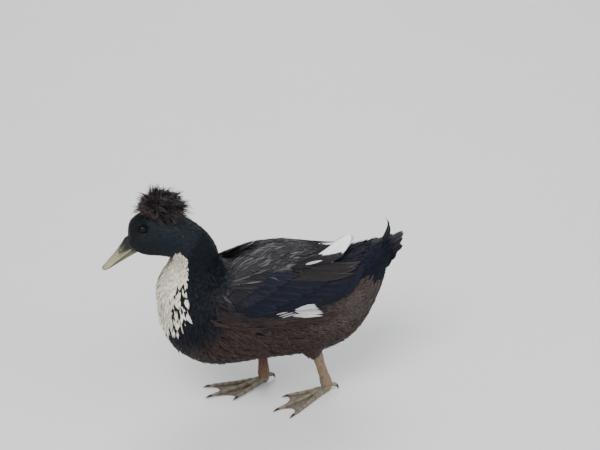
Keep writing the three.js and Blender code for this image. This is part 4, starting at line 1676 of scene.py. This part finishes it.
@dataclass
class Crest:
    """The pompom of long soft feathers on the crown.

    Attributes:
        centre: The pompom's middle.
        reach: Its half sizes.
        outline: How long a tuft is, by its angle in degrees from the rear over the top to the front.
        foot: Half size of the patch of crown that the strands spring from.
        clumps: Number of tufts.
        each: Strands in a tuft.
        loose_share: The share of strands that stray from their tuft.
        sway: How far the tufts' middles are swung.
        rows: Points along a strand.
    """

    centre: Triple = (-184, 0, 304)
    reach: Triple = (37, 30, 31)
    foot: float = 15
    clumps: int = 92
    each: int = 26
    loose_share: float = 0.12
    sway: Triple = (5, 5, 2)
    outline: ClassVar[Profile] = staticmethod(
        profile((-60, 0.95), (-11, 1.08), (5, 0.97), (25, 0.98), (45, 1.06), (59, 0.72), (75, 1.0),
                (99, 1.15), (115, 1.28), (135, 1.1), (157, 1.08), (172, 1.06), (188, 0.7))
    )
    rows: int = 8
    finish: Finish = VaneFinish("Crest_feathers", 0.5, 0.03, gloss=0.25, rim=0.2, barbs=24, depth=0.04)

    def shape(self, form: BodyForm, random: Chance) -> Shape:
        """Strands from the crown outwards, in tufts that curl over at their tips.

        A strand is the quadratic curve root (1 - u)^2 + 2 bend u (1 - u) + tip u^2. The outline gives the
        tufts' lengths by their angle over the rear: long in front, and short where the crest parts.
        """
        n = np.arange(self.clumps) + 0.5
        height = 1 - n / self.clumps * 1.3
        turn = n * GOLDEN_TURN
        flat = np.sqrt(1 - height**2)
        way = np.stack([flat * np.cos(turn), flat * np.sin(turn), height], -1)
        way[:, 2] = np.maximum(way[:, 2], soft(-way[:, 0], -0.1, 0.6) * 0.5 - 0.3)
        way = unit(way)
        angle = np.degrees(np.arctan2(way[:, 2], way[:, 0]))
        share = self.outline(np.where(angle < -90, angle + 360, angle)) - 1
        long_ = random.uniform(0.88, 1.06, self.clumps) * (1 + share * (1 - way[:, 1] ** 2))
        swing = random.normal(0, 1, (self.clumps, 3)) * self.sway
        tuft = np.repeat(np.arange(self.clumps), self.each)
        count = len(tuft)
        stray = random.normal(0, 1, (count, 3))
        reach, centre = np.array(self.reach), np.array(self.centre)
        free = 1 + 2.5 * (random.random((count, 1)) < self.loose_share)
        out = unit(way[tuft] + stray * 0.07 * free)
        tip = centre + out * reach * (long_[tuft] * random.uniform(0.66, 1.04, count))[:, None]
        tip += swing[tuft] * 0.6 + (5, 0, 1.5) * out[:, 2:] - (0, 0, 3.0) * (1 - out[:, 2:]) ** 2
        root = centre + out * (self.foot, self.foot * 0.8, 4) + stray * (2, 2, 1) - (0, 0, 9)
        bend = centre + out * reach * 0.6 + (-4, 0, 9) - swing[tuft] + stray * 2.2
        u = even(self.rows)[None, :, None]
        line = root[:, None] * (1 - u) ** 2 + 2 * bend[:, None] * u * (1 - u) + tip[:, None] * u**2
        outward = np.broadcast_to(unit(out + stray * 0.4)[:, None], line.shape)
        walk = Walk.facing(form.turned(line), form.turned(outward, 1.0, True))
        outline = profile((0, 0.6), (0.45, 1), (0.75, 0.6), (1, 0.05))(even(self.rows))
        half = random.uniform(0.4, 1.0, (count, 1)) * outline
        light = random.uniform(0.5, 1.5, (count, 1)) * random.uniform(0.45, 1.6, self.clumps)[tuft][:, None]
        # painted light: some front strands paler, lit through at their fine tips
        pale = soft(-out[:, 0], 0.2, 0.9) * (random.random(count) < 0.4) * 0.6
        tint = blend(Tone.CREST * light, Tone.CREST_PAINTED_LIGHT, pale * 0.6)
        edge = blend(Tone.CREST_TIP * light, Tone.CREST_PAINTED_LIGHT, pale)
        place = form.bake_place(2 + out[:, 2] * 0.8, np.degrees(np.arctan2(out[:, 1], 0.6)))
        return vanes(walk, half, half * 0.22, half * 0.1, Coat(tint, edge, place), 3)

    def build(self, shop: Workshop, marks: Markings) -> None:
        """Makes the crest."""
        shape = self.shape(shop.form, marks.random)
        shop.piece("crest_feathers", shape, self.finish, ("crest",))


@dataclass
class Bill:
    """The bill's two halves: arched tubes along the bill's own line.

    Attributes:
        length: From the forehead's edge to the tip.
        root: Where the bill's line starts.
        drop: How far it points down.
        half_wide: Half width behind the nostrils.
        flare: How much wider the spoon is on either side.
        spoon: Share of the length where the spoon begins to round off.
        nostril: Place of the nostril along, across and up.
    """

    length: float = 51.5
    root: Triple = (-224, 0, 250.3)
    drop: float = np.radians(37.5)
    half_wide: float = 9.2
    flare: float = 1.9
    spoon: float = 0.72
    nostril: Triple = (15, 7, 7.6)
    finish: Finish = TintFinish("Bill_horn", 0.45, 0.1, 0.4, grain=420, depth=0.15, mottle=0.6)
    lower_finish: Finish = TintFinish("Bill_horn_lower", 0.45, 0, 0.4, grain=420, depth=0.15, mottle=0.6)

    def point(self, form: BodyForm, along: Array, across: Array, up: Array) -> Array:
        """Points in the bill's own directions.

        Args:
            form: The body.
            along: Distances along it.
            across: Distances across it.
            up: Heights over it.

        Returns:
            The points.
        """
        forward = np.array([-np.cos(self.drop), 0, -np.sin(self.drop)])
        rise = np.array([-np.sin(self.drop), 0, np.cos(self.drop)])
        line = np.array(self.root) + along[..., None] * forward + up[..., None] * rise
        return form.turned(line + across[..., None] * np.array([0, 1, 0]))

    def half_width(self, u: Array) -> Array:
        """Half width at a share of the length: a neck, a broad spoon and a round end.

        Args:
            u: Shares of the length.

        Returns:
            Half widths.
        """
        past = np.maximum(0, (u - self.spoon) / (1.005 - self.spoon))
        end = np.sqrt(np.maximum(1 - past**2, 0))
        return (self.half_wide + self.flare * soft(u, 0.35, 0.8)) * end

    def arch(
        self, start: float, height: Callable[[Array], Array], width: float, base: float
    ) -> tuple[Array, ...]:
        """Grids along, across and up of one half: an arch over a flat side at the mouth.

        Args:
            start: Share of the length where it begins, inside the face.
            height: Height of the arch at a share of the length, under the mouth where negative.
            width: Share of the bill's width.
            base: Height of the flat side.

        Returns:
            The three grids.
        """
        end = 1 - 0.12 * np.cos(np.linspace(0.16, 1.54, 26))
        u = np.concatenate([np.linspace(start, 0.88, 90), end])[:, None]
        arc = np.linspace(0, np.pi, 61)[None]
        wide = self.half_width(u) * width
        flat = np.linspace(-1, 1, 13)[None, 1:-1]
        across = np.concatenate([wide * np.cos(arc), wide * flat], axis=1)
        up = np.concatenate([base + height(u) * np.sin(arc) ** 0.8, base + 0 * wide * flat], axis=1)
        return np.broadcast_arrays(u * self.length, across, up)

    def upper(self, form: BodyForm) -> Shape:
        """The upper half: nostrils sunk in, a nail at the tip and fine ridges along the mouth."""
        culmen = lambda u: 11 * (1 - np.maximum(u, 0)) ** 2 + 4.9 * (1 - np.maximum(u, 0) ** 3) + 1.3
        along, across, up = self.arch(-0.1, culmen, 1.0, 0.16)
        u = along / self.length
        hole = ((along - self.nostril[0]) / 3.4) ** 2 + ((up - self.nostril[2]) / 1.5) ** 2
        pit, lip = np.exp(-(hole**1.5)), np.exp(-(((hole - 2.2) / 1.1) ** 2))
        nail = soft(((u - 0.955) / 0.075) ** 2 + (across / 4.6) ** 2, 1.15, 0.75) * (up > 0.5)
        comb = np.sin(along * 3.2) * soft(up, 1.9, 0.6) * soft(up, 0.2, 0.5)
        comb = comb * soft(u, 0.15, 0.4) * soft(u, 0.9, 0.8)
        ridge = soft(np.abs(across), 6.5, 4.0) * soft(u, 0.75, 0.2)
        across = across - np.sign(across) * (1.7 * pit - 0.25 * lip) + np.sign(across) * comb * 0.12
        up = up + nail * 0.55 + ridge * 0.2
        shape = sheet(capped(self.point(form, along, across, up)))
        wavy = u + 0.07 * np.sin(across * 1.7) + 0.05 * np.sin(up * 2.3)
        saddle = soft(wavy, 0.4, 0.16) * soft(up, 2.5, 7.0) * 0.88
        face = soft(wavy, 0.16, 0.04) * soft(up, 2.0, 5.0)
        # painted shade: the mouth's edge, where the halves meet, and the nostril's opening (pit) are darkened
        line = soft(up, 1.5, 0.5) * (0.5 + 0.4 * soft(u, 0.7, 0.2))
        dark = np.maximum.reduce([pit * 0.95, saddle, line, nail * 0.5, soft(u, 0.06, -0.02)])
        pale = soft(u, 0.3, 0.7) * soft(np.abs(across), 2, 7) * 0.6
        tint = blend(blend(Tone.BILL, Tone.BILL_PALE, pale), Tone.BILL_DARK, dark)
        return shape.painted(blend(tint, Tone.FACE, face))

    def lower(self, form: BodyForm) -> Shape:
        """The lower half, with a shallow groove between its two bones."""
        keel = lambda u: -8 * (1 - 0.74 * np.maximum(u, 0))
        along, across, up = self.arch(-0.06, keel, 0.86, -0.16)
        u = along / self.length
        groove = np.exp(-((across / 2.2) ** 2)) * soft(-up, 1.0, 2.0) * soft(u, 0.95, 0.7)
        shape = sheet(capped(self.point(form, along, across, up + groove * 0.9)))
        # painted shade along the mouth's edge and in the groove; darker at the root too, and the whole half
        # at half the bill's colour
        dark = np.clip(soft(-up, 0.9, 0.3) * 0.7 + groove * 0.3 + soft(u, 0.1, -0.02) * 0.6, 0, 1)
        return shape.painted(blend(Tone.BILL * 0.5, Tone.BILL_DARK, dark))

    def build(self, shop: Workshop) -> None:
        """Makes both halves."""
        shop.piece("bill_upper", self.upper(shop.form), self.finish, ("bill_upper",))
        lower = self.lower(shop.form)
        shop.piece("bill_lower", lower, self.lower_finish, ("bill_lower",))


@dataclass
class Eye:
    """An eyeball between its lids.

    Attributes:
        side: Which eye it is.
        radius: The eyeball's.
        station: Its place along the body.
        degrees: Its angle down from the crown.
        sunk: How far its middle lies under the skin.
        lid_radius: From the eye's axis to the middle of the lid's rim.
        lid_thick: Half thickness of the rim.
        pupil: Angles from the axis where the pupil fades into the iris.
    """

    side: Side
    radius: float = 5.4
    station: float = 2.1
    degrees: float = 56
    sunk: float = 3.3
    lid_radius: float = 4.6
    lid_thick: float = 1.1
    pupil: Pair = (0.4, 0.46)
    finish: Finish = TintFinish("Eye", roughness=0.14, gloss=0.2, depth=0.0, mottle=0.1)
    lid_finish: Finish = TintFinish("Eyelid", roughness=0.7, gloss=0.1, grain=1500, depth=0.15)

    def centre(self, form: BodyForm) -> Array:
        """The eyeball's middle, sunk under the skin."""
        return form.skin(self.station, self.side.value * self.degrees, -self.sunk)

    def axes(self, form: BodyForm) -> tuple[Array, Array, Array]:
        """Unit vectors out of the eye, across it and up.

        Returns:
            The three vectors.
        """
        out = unit(form.skin(self.station, self.side.value * self.degrees, 1) - self.centre(form))
        across = unit(np.cross(out, (0, 0, 1)))
        return out, across, np.cross(across, out)

    def ball(self, form: BodyForm) -> Shape:
        """The eyeball: rings round the axis that points out."""
        out, across, up = self.axes(form)
        polar = np.linspace(0.02, np.pi - 0.02, 60)
        rows = self.centre(form) + out * (np.cos(polar) * self.radius)[:, None]
        ring = np.sin(polar) * self.radius
        tint = blend(Tone.PUPIL, Tone.IRIS, soft(polar, *self.pupil))
        return tube(rows, across, up, ring, ring, 64).painted(tint)

    def lids(self, form: BodyForm) -> Shape:
        """The rim of the lids: a ring, longer than it is high, that lies on the eyeball."""
        out, across, up = self.axes(form)
        around = full_turn(64)
        turn, tube_turn = np.meshgrid(around, around[::4], indexing="ij")
        away = self.lid_radius + self.lid_thick * np.cos(tube_turn)
        rise = self.radius * 0.56 + self.lid_thick * 0.9 * np.sin(tube_turn)
        level = (away * np.cos(turn) * 1.14)[..., None] * across + (away * np.sin(turn) * 0.9)[..., None] * up
        points = self.centre(form) + level + rise[..., None] * out
        return sheet(np.concatenate([points, points[:1]])).painted(Tone.LID)

    def build(self, shop: Workshop) -> None:
        """Makes the eye and its lids."""
        name = f"eye_{self.side.word}"
        shop.piece(name, self.ball(shop.form), self.finish, (name,))
        shop.piece(f"lids_{self.side.word}", self.lids(shop.form), self.lid_finish)


@dataclass
class Leg:
    """A scaly shank with its webbed foot.

    Attributes:
        side: Which leg it is.
        knee: Where the bare shank begins.
        ankle: Where the toes spring from.
        foot_turn: How far the foot is turned towards -Y.
        shank_tone: The shank's colour.
        toes: Turn in degrees, length and number of joints of each front toe.
        claw: A claw's length.
        web_reach: Share of a toe that the web reaches.
        folds: Radial folds in a web.
        scallops: Waves of its edge.
        scutes: Scutes down the shank's front.
        ring_pitch: From one ring of a toe to the next.
        joint: Half sizes of the joint between shank and toes, and its height.
    """

    side: Side
    knee: Triple
    ankle: Triple
    foot_turn: float
    shank_tone: Array = field(default_factory=lambda: Tone.SHANK_RED)
    toes: tuple[tuple[float, float, int], ...] = ((-21, 64, 2), (0, 91, 3), (18, 86, 4))
    claw: float = 8
    web_reach: float = 0.88
    folds: int = 5
    scallops: int = 7
    scutes: int = 15
    ring_pitch: float = 2.4
    joint: tuple[float, float, float, float] = (7.4, 6.8, 7.4, 7.6)
    shank_finish: Finish = ScaleFinish("Shank_scales", 0.55, 0, 0.3, size=300, patch=(0.3, 0.14, 0.06))
    foot_finish: Finish = ScaleFinish("Foot_scales", 0.6, 0, 0.3, size=420, depth=0.35)
    claw_finish: Finish = TintFinish("Claw_horn", 0.35, 0.1, 0.4, grain=300)

    def shank(self) -> Shape:
        """The shank from under the belly's feathers to the ankle, with a swollen joint at either end."""
        top, ankle = np.array(self.knee), np.array(self.ankle)
        down = unit(ankle - top)
        u = np.linspace(-0.3, 1.06, 70)
        line = top + (ankle - top) * u[:, None]
        across = unit(np.cross(down, (1, 0, 0)))
        fore = np.cross(across, down)
        wide = profile((-0.3, 5.4), (0, 6.4), (0.3, 5.4), (0.7, 5.6), (0.95, 7.0), (1.06, 6.4))(u)
        deep = profile((-0.3, 6.4), (0, 7.6), (0.3, 6.5), (0.7, 6.9), (0.95, 8.4), (1.06, 7.4))(u)
        turn = full_turn(48)
        scutes = 0.22 * np.abs(np.sin(np.pi * u[:, None] * self.scutes)) * soft(-np.sin(turn), 0.0, 0.7)
        tint = blend(self.shank_tone, Tone.SHANK_GREY, soft(u, 0.5, 1.0) * 0.7)
        return tube(line, across, fore, wide[:, None] + scutes, deep[:, None] + scutes, 48).painted(tint)

    def angle(self, turn: Array | float) -> Array:
        """The direction of a turn from the foot's middle, towards its outer side."""
        return self.foot_turn - self.side.value * np.radians(turn)

    def spot(self, turn: Array | float, distance: Array, height: Array) -> Array:
        """Points at a turn and distance from the ankle.

        Args:
            turn: Degrees from the foot's middle.
            distance: Distances from the ankle.
            height: Heights over the ground.

        Returns:
            The points.
        """
        angle = self.angle(turn)
        x = self.ankle[0] - distance * np.cos(angle)
        y = self.ankle[1] - distance * np.sin(angle)
        return np.stack(np.broadcast_arrays(x, y, height), -1)

    def rod(
        self, turn: float, distance: Array, height: Array, half: Array, high: Array, corners: int = 28
    ) -> Shape:
        """A tube along the ground at a turn from the foot's middle."""
        across = (np.sin(self.angle(turn)), -np.cos(self.angle(turn)), 0.0)
        return tube(self.spot(turn, distance, height), across, (0.0, 0.0, 1.0), half, high, corners)

    def toe(self, turn: float, length: float, joints: int) -> Shape:
        """A toe: a low tube that swells at its joints.

        Args:
            turn: Degrees from the foot's middle.
            length: Length with its claw.
            joints: Number of joints.

        Returns:
            The mesh.
        """
        u = even(90)
        reach = length - self.claw
        height = profile((0, 6.8), (0.12, 4.9), (0.5, 3.0), (0.92, 2.3), (1, 2.0))(u)
        swell = 1 + 0.16 * np.cos(TAU * joints * u) ** 2 * soft(u, 0.0, 0.2)
        half = profile((0, 4.4), (0.3, 3.0), (0.9, 2.3), (1, 1.2))(u) * swell
        rings = 1 + 0.03 * np.sin(TAU * u * length / self.ring_pitch)
        shape = self.rod(turn, u * reach, height, half * rings, np.minimum(half, height - 0.1) * rings)
        return shape.painted(blend(Tone.TOE, Tone.CLAW, 0.45 * np.cos(TAU * joints * u) ** 6))

    def nail(self, turn: float, length: float) -> Shape:
        """A claw: a tapering hook that ends on the ground.

        Args:
            turn: Its toe's turn.
            length: Its toe's length.

        Returns:
            The mesh.
        """
        u = even(24)
        height = profile((0, 2.2), (0.4, 2.2), (1, 0.5))(u)
        half = profile((0, 1.8), (0.5, 1.3), (1, 0.2))(u)
        distance = length - self.claw * (1.15 - 1.15 * u)
        return self.rod(turn, distance, height, half, np.minimum(half * 1.1, height), 16).painted(Tone.CLAW)

    def web(self, first: Pair, second: Pair) -> Shape:
        """The skin between two toes: thin, with radial folds, its edge drawn in and scalloped.

        Args:
            first: Turn and length of one toe.
            second: The same for the next one.

        Returns:
            The mesh.
        """
        v = even(60)[:, None]
        u = even(50)[None]
        turn = first[0] + (second[0] - first[0]) * v
        straight = self.web_reach * (first[1] + (second[1] - first[1]) * v)
        reach = straight * (1 - 0.17 * np.sin(np.pi * v) ** 0.8 + 0.008 * np.sin(TAU * self.scallops * v))
        folds = 0.35 * np.sin(TAU * self.folds * v) * np.sin(np.pi * v) * soft(u, 0.2, 0.8)
        top = 1.25 + 2.6 * (1 - u) ** 2 + folds + 0.18 * np.sin(TAU * 9 * u + 6 * v) * u
        over = self.spot(turn, reach * u, top)
        under = self.spot(turn, reach * u, np.full(top.shape, 0.05))[:, ::-1]
        return sheet(capped(np.concatenate([over, under], axis=1))).painted(Tone.WEB)

    def knuckle(self) -> Shape:
        """The rounded joint between shank and toes."""
        polar = np.linspace(0.05, np.pi - 0.05, 30)
        fore, wide, high, middle = self.joint
        rows = [(*self.ankle[:2], middle + high * np.cos(angle)) for angle in polar]
        ring = np.sin(polar)
        shape = tube(np.array(rows), (1.0, 0.0, 0.0), (0.0, 1.0, 0.0), ring * fore, ring * wide, 36)
        return shape.painted(Tone.SHANK_GREY)

    def back_toe(self) -> Shape:
        """The small raised toe behind the ankle, with its claw."""
        side = self.side.value
        knots = np.array([(2, 0, -4), (9, side, -3.5), (15, 2 * side, -6), (17.5, 2 * side, -12)])
        u = even(40)
        line = spline(knots, np.linspace(0, len(knots) - 1, len(u))) + np.array(self.ankle)
        half = profile((0, 3.6), (0.45, 3.0), (0.65, 2.1), (1, 0.3))(u)
        across = np.array([0.0, 1.0, 0.0])
        up = np.cross(unit(np.gradient(line, axis=0)), across)
        return tube(line, across, up, half, half, 20).painted(blend(Tone.TOE, Tone.CLAW, soft(u, 0.5, 0.62)))

    def build(self, shop: Workshop) -> None:
        """Makes shank, foot and claws."""
        word = self.side.word
        webs = [self.web(first[:2], second[:2]) for first, second in zip(self.toes, self.toes[1:])]
        foot = Shape.joined([self.toe(*toe) for toe in self.toes] + webs + [self.knuckle(), self.back_toe()])
        claws = Shape.joined([self.nail(*toe[:2]) for toe in self.toes])
        shop.piece(f"shank_{word}", self.shank(), self.shank_finish, (f"shank_{word}",))
        shop.piece(f"foot_{word}", foot, self.foot_finish, (f"foot_{word}",))
        shop.piece(f"claws_{word}", claws, self.claw_finish)


@dataclass
class Studio:
    """A pale floor, soft lights and the camera.

    Attributes:
        azimuth: The camera's angle round the duck, negative towards the head.
        elevation: Its angle over level.
        field_of_view: The picture's width as an angle.
        camera_spot: Where the camera stands, in the duck's own frame.
        target: What the lights face, in metres.
        lights: Each light's name, place, width and power.
        sky: Colour of the light from all around.
        sky_power: Its strength.
    """

    azimuth: float = np.radians(-20)
    elevation: float = np.radians(28)
    field_of_view: float = np.radians(18.36)
    camera_spot: Triple = (-745.0, -2059.3, 1419.6)
    target: Triple = (0, 0, 0.15)
    lights: tuple[tuple[str, Triple, float, float], ...] = (
        ("key", (-1.4, -1.6, 2.8), 1.8, 110),
        ("fill", (1.8, -1.8, 1.8), 2.2, 30),
        ("back", (0.8, 1.8, 2.2), 1.8, 45),
    )
    sky: Triple = (0.92, 0.95, 1.0)
    sky_power: float = 0.6
    finish: Finish = FloorFinish("Floor", roughness=0.8)

    def floor(self) -> None:
        """A wide pale floor that curves up behind."""
        bow, radius, start = np.linspace(0.1, np.pi / 2, 16), 2.0, 2.2
        along = np.concatenate([[-4.0, start], start + radius * np.sin(bow), [start + radius]])
        height = np.concatenate([[0, 0], radius - radius * np.cos(bow), [6.0]])
        y, x = np.meshgrid(along, np.linspace(-6, 6, 3), indexing="ij")
        shape = sheet(np.stack([x, y, np.broadcast_to(height[:, None], x.shape)], -1), wrap=False)
        mesh = bpy.data.meshes.new("floor")
        mesh.from_pydata(shape.points.tolist(), [], shape.quads[:, ::-1].tolist())
        mesh.materials.append(self.finish.material())
        mesh.polygons.foreach_set("use_smooth", np.ones(len(mesh.polygons), bool))
        thing = added("floor", mesh)

    def light(self, name: str, spot: Sequence[float], size: float, power: float) -> None:
        """A soft square light that faces the duck.

        Args:
            name: Its name.
            spot: Its place.
            size: Its width.
            power: Its strength.
        """
        lamp = bpy.data.lights.new(name, "AREA")
        lamp.size, lamp.energy = size, power
        self.aim(added(name, lamp), spot, Vector(self.target) - Vector(spot))

    @staticmethod
    def aim(thing: bpy.types.Object, spot: Sequence[float], look: Vector) -> None:
        """Places a light or camera and turns it to look along a direction."""
        thing.location = spot
        thing.rotation_euler = look.to_track_quat("-Z", "Y").to_euler()

    def camera(self, shop: Workshop) -> None:
        """The camera at the picture's angle."""
        lens = bpy.data.cameras.new("camera")
        lens.sensor_fit = "HORIZONTAL"
        lens.angle = self.field_of_view
        level = np.cos(self.elevation)
        look = Vector((-np.sin(self.azimuth) * level, np.cos(self.azimuth) * level, -np.sin(self.elevation)))
        bpy.context.scene.camera = added("camera", lens)
        self.aim(bpy.context.scene.camera, shop.placed(np.array(self.camera_spot)), look)

    def build(self, shop: Workshop) -> None:
        """Sets the stage."""
        self.floor()
        for light in self.lights:
            self.light(*light)
        world = bpy.data.worlds.new("world")
        world.use_nodes = True
        background = world.node_tree.nodes["Background"]
        background.inputs["Color"].default_value = (*self.sky, 1)
        background.inputs["Strength"].default_value = self.sky_power
        bpy.context.scene.world = world
        self.camera(shop)


BODY_FINISH = VaneFinish("Body_feathers", 0.58, rim=0.2, barbs=24, depth=0.1)
COATS = {
    "head_feathers": VaneFinish("Head_feathers", 0.4, 0.1, 0.3, rim=0.3, barbs=10, depth=0.05, metal=0.3),
    "neck_feathers": VaneFinish("Neck_feathers", 0.5, 0.03, rim=0.22, barbs=14, depth=0.06),
    "body_feathers": BODY_FINISH,
}


def main() -> None:
    """Builds the duck piece by piece."""
    logging.basicConfig(level=logging.INFO, format="%(name)s: %(message)s")
    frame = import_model()
    LOG.info("frame with %d nodes", len(frame["nodes"]))
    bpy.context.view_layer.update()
    form = BodyForm()
    eyes = [Eye(side) for side in Side]
    shop = Workshop(form, eyes[0].centre(form))
    marks = Markings(np.random.default_rng(SEED))
    thighs = [
        Thigh(Side.LEFT, hip=(4, -40, 118), knee=(10, -37, 70)),
        Thigh(Side.RIGHT, hip=(-26, 40, 118), knee=(-42, 35, 75)),
    ]
    Skin().build(shop, marks, thighs)
    Plumage().build(shop, marks, eyes)
    for thigh in thighs:
        thigh.build(shop, marks, BODY_FINISH)
    for side in Side:
        Wing(side).build(shop, marks)
    LooseFeather().build(shop, marks)
    for eye in eyes:
        eye.build(shop)
    Tail().build(shop, marks)
    Crest().build(shop, marks)
    Bill().build(shop)
    Leg(Side.LEFT, (17, -36, 68), (34, -26, 13.5), np.radians(16), Tone.SHANK_GREY).build(shop)
    Leg(Side.RIGHT, (-40, 34, 72), (-40, 26, 13.5), np.radians(8)).build(shop)
    Studio().build(shop)
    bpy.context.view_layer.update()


if __name__ == "__main__":
    main()
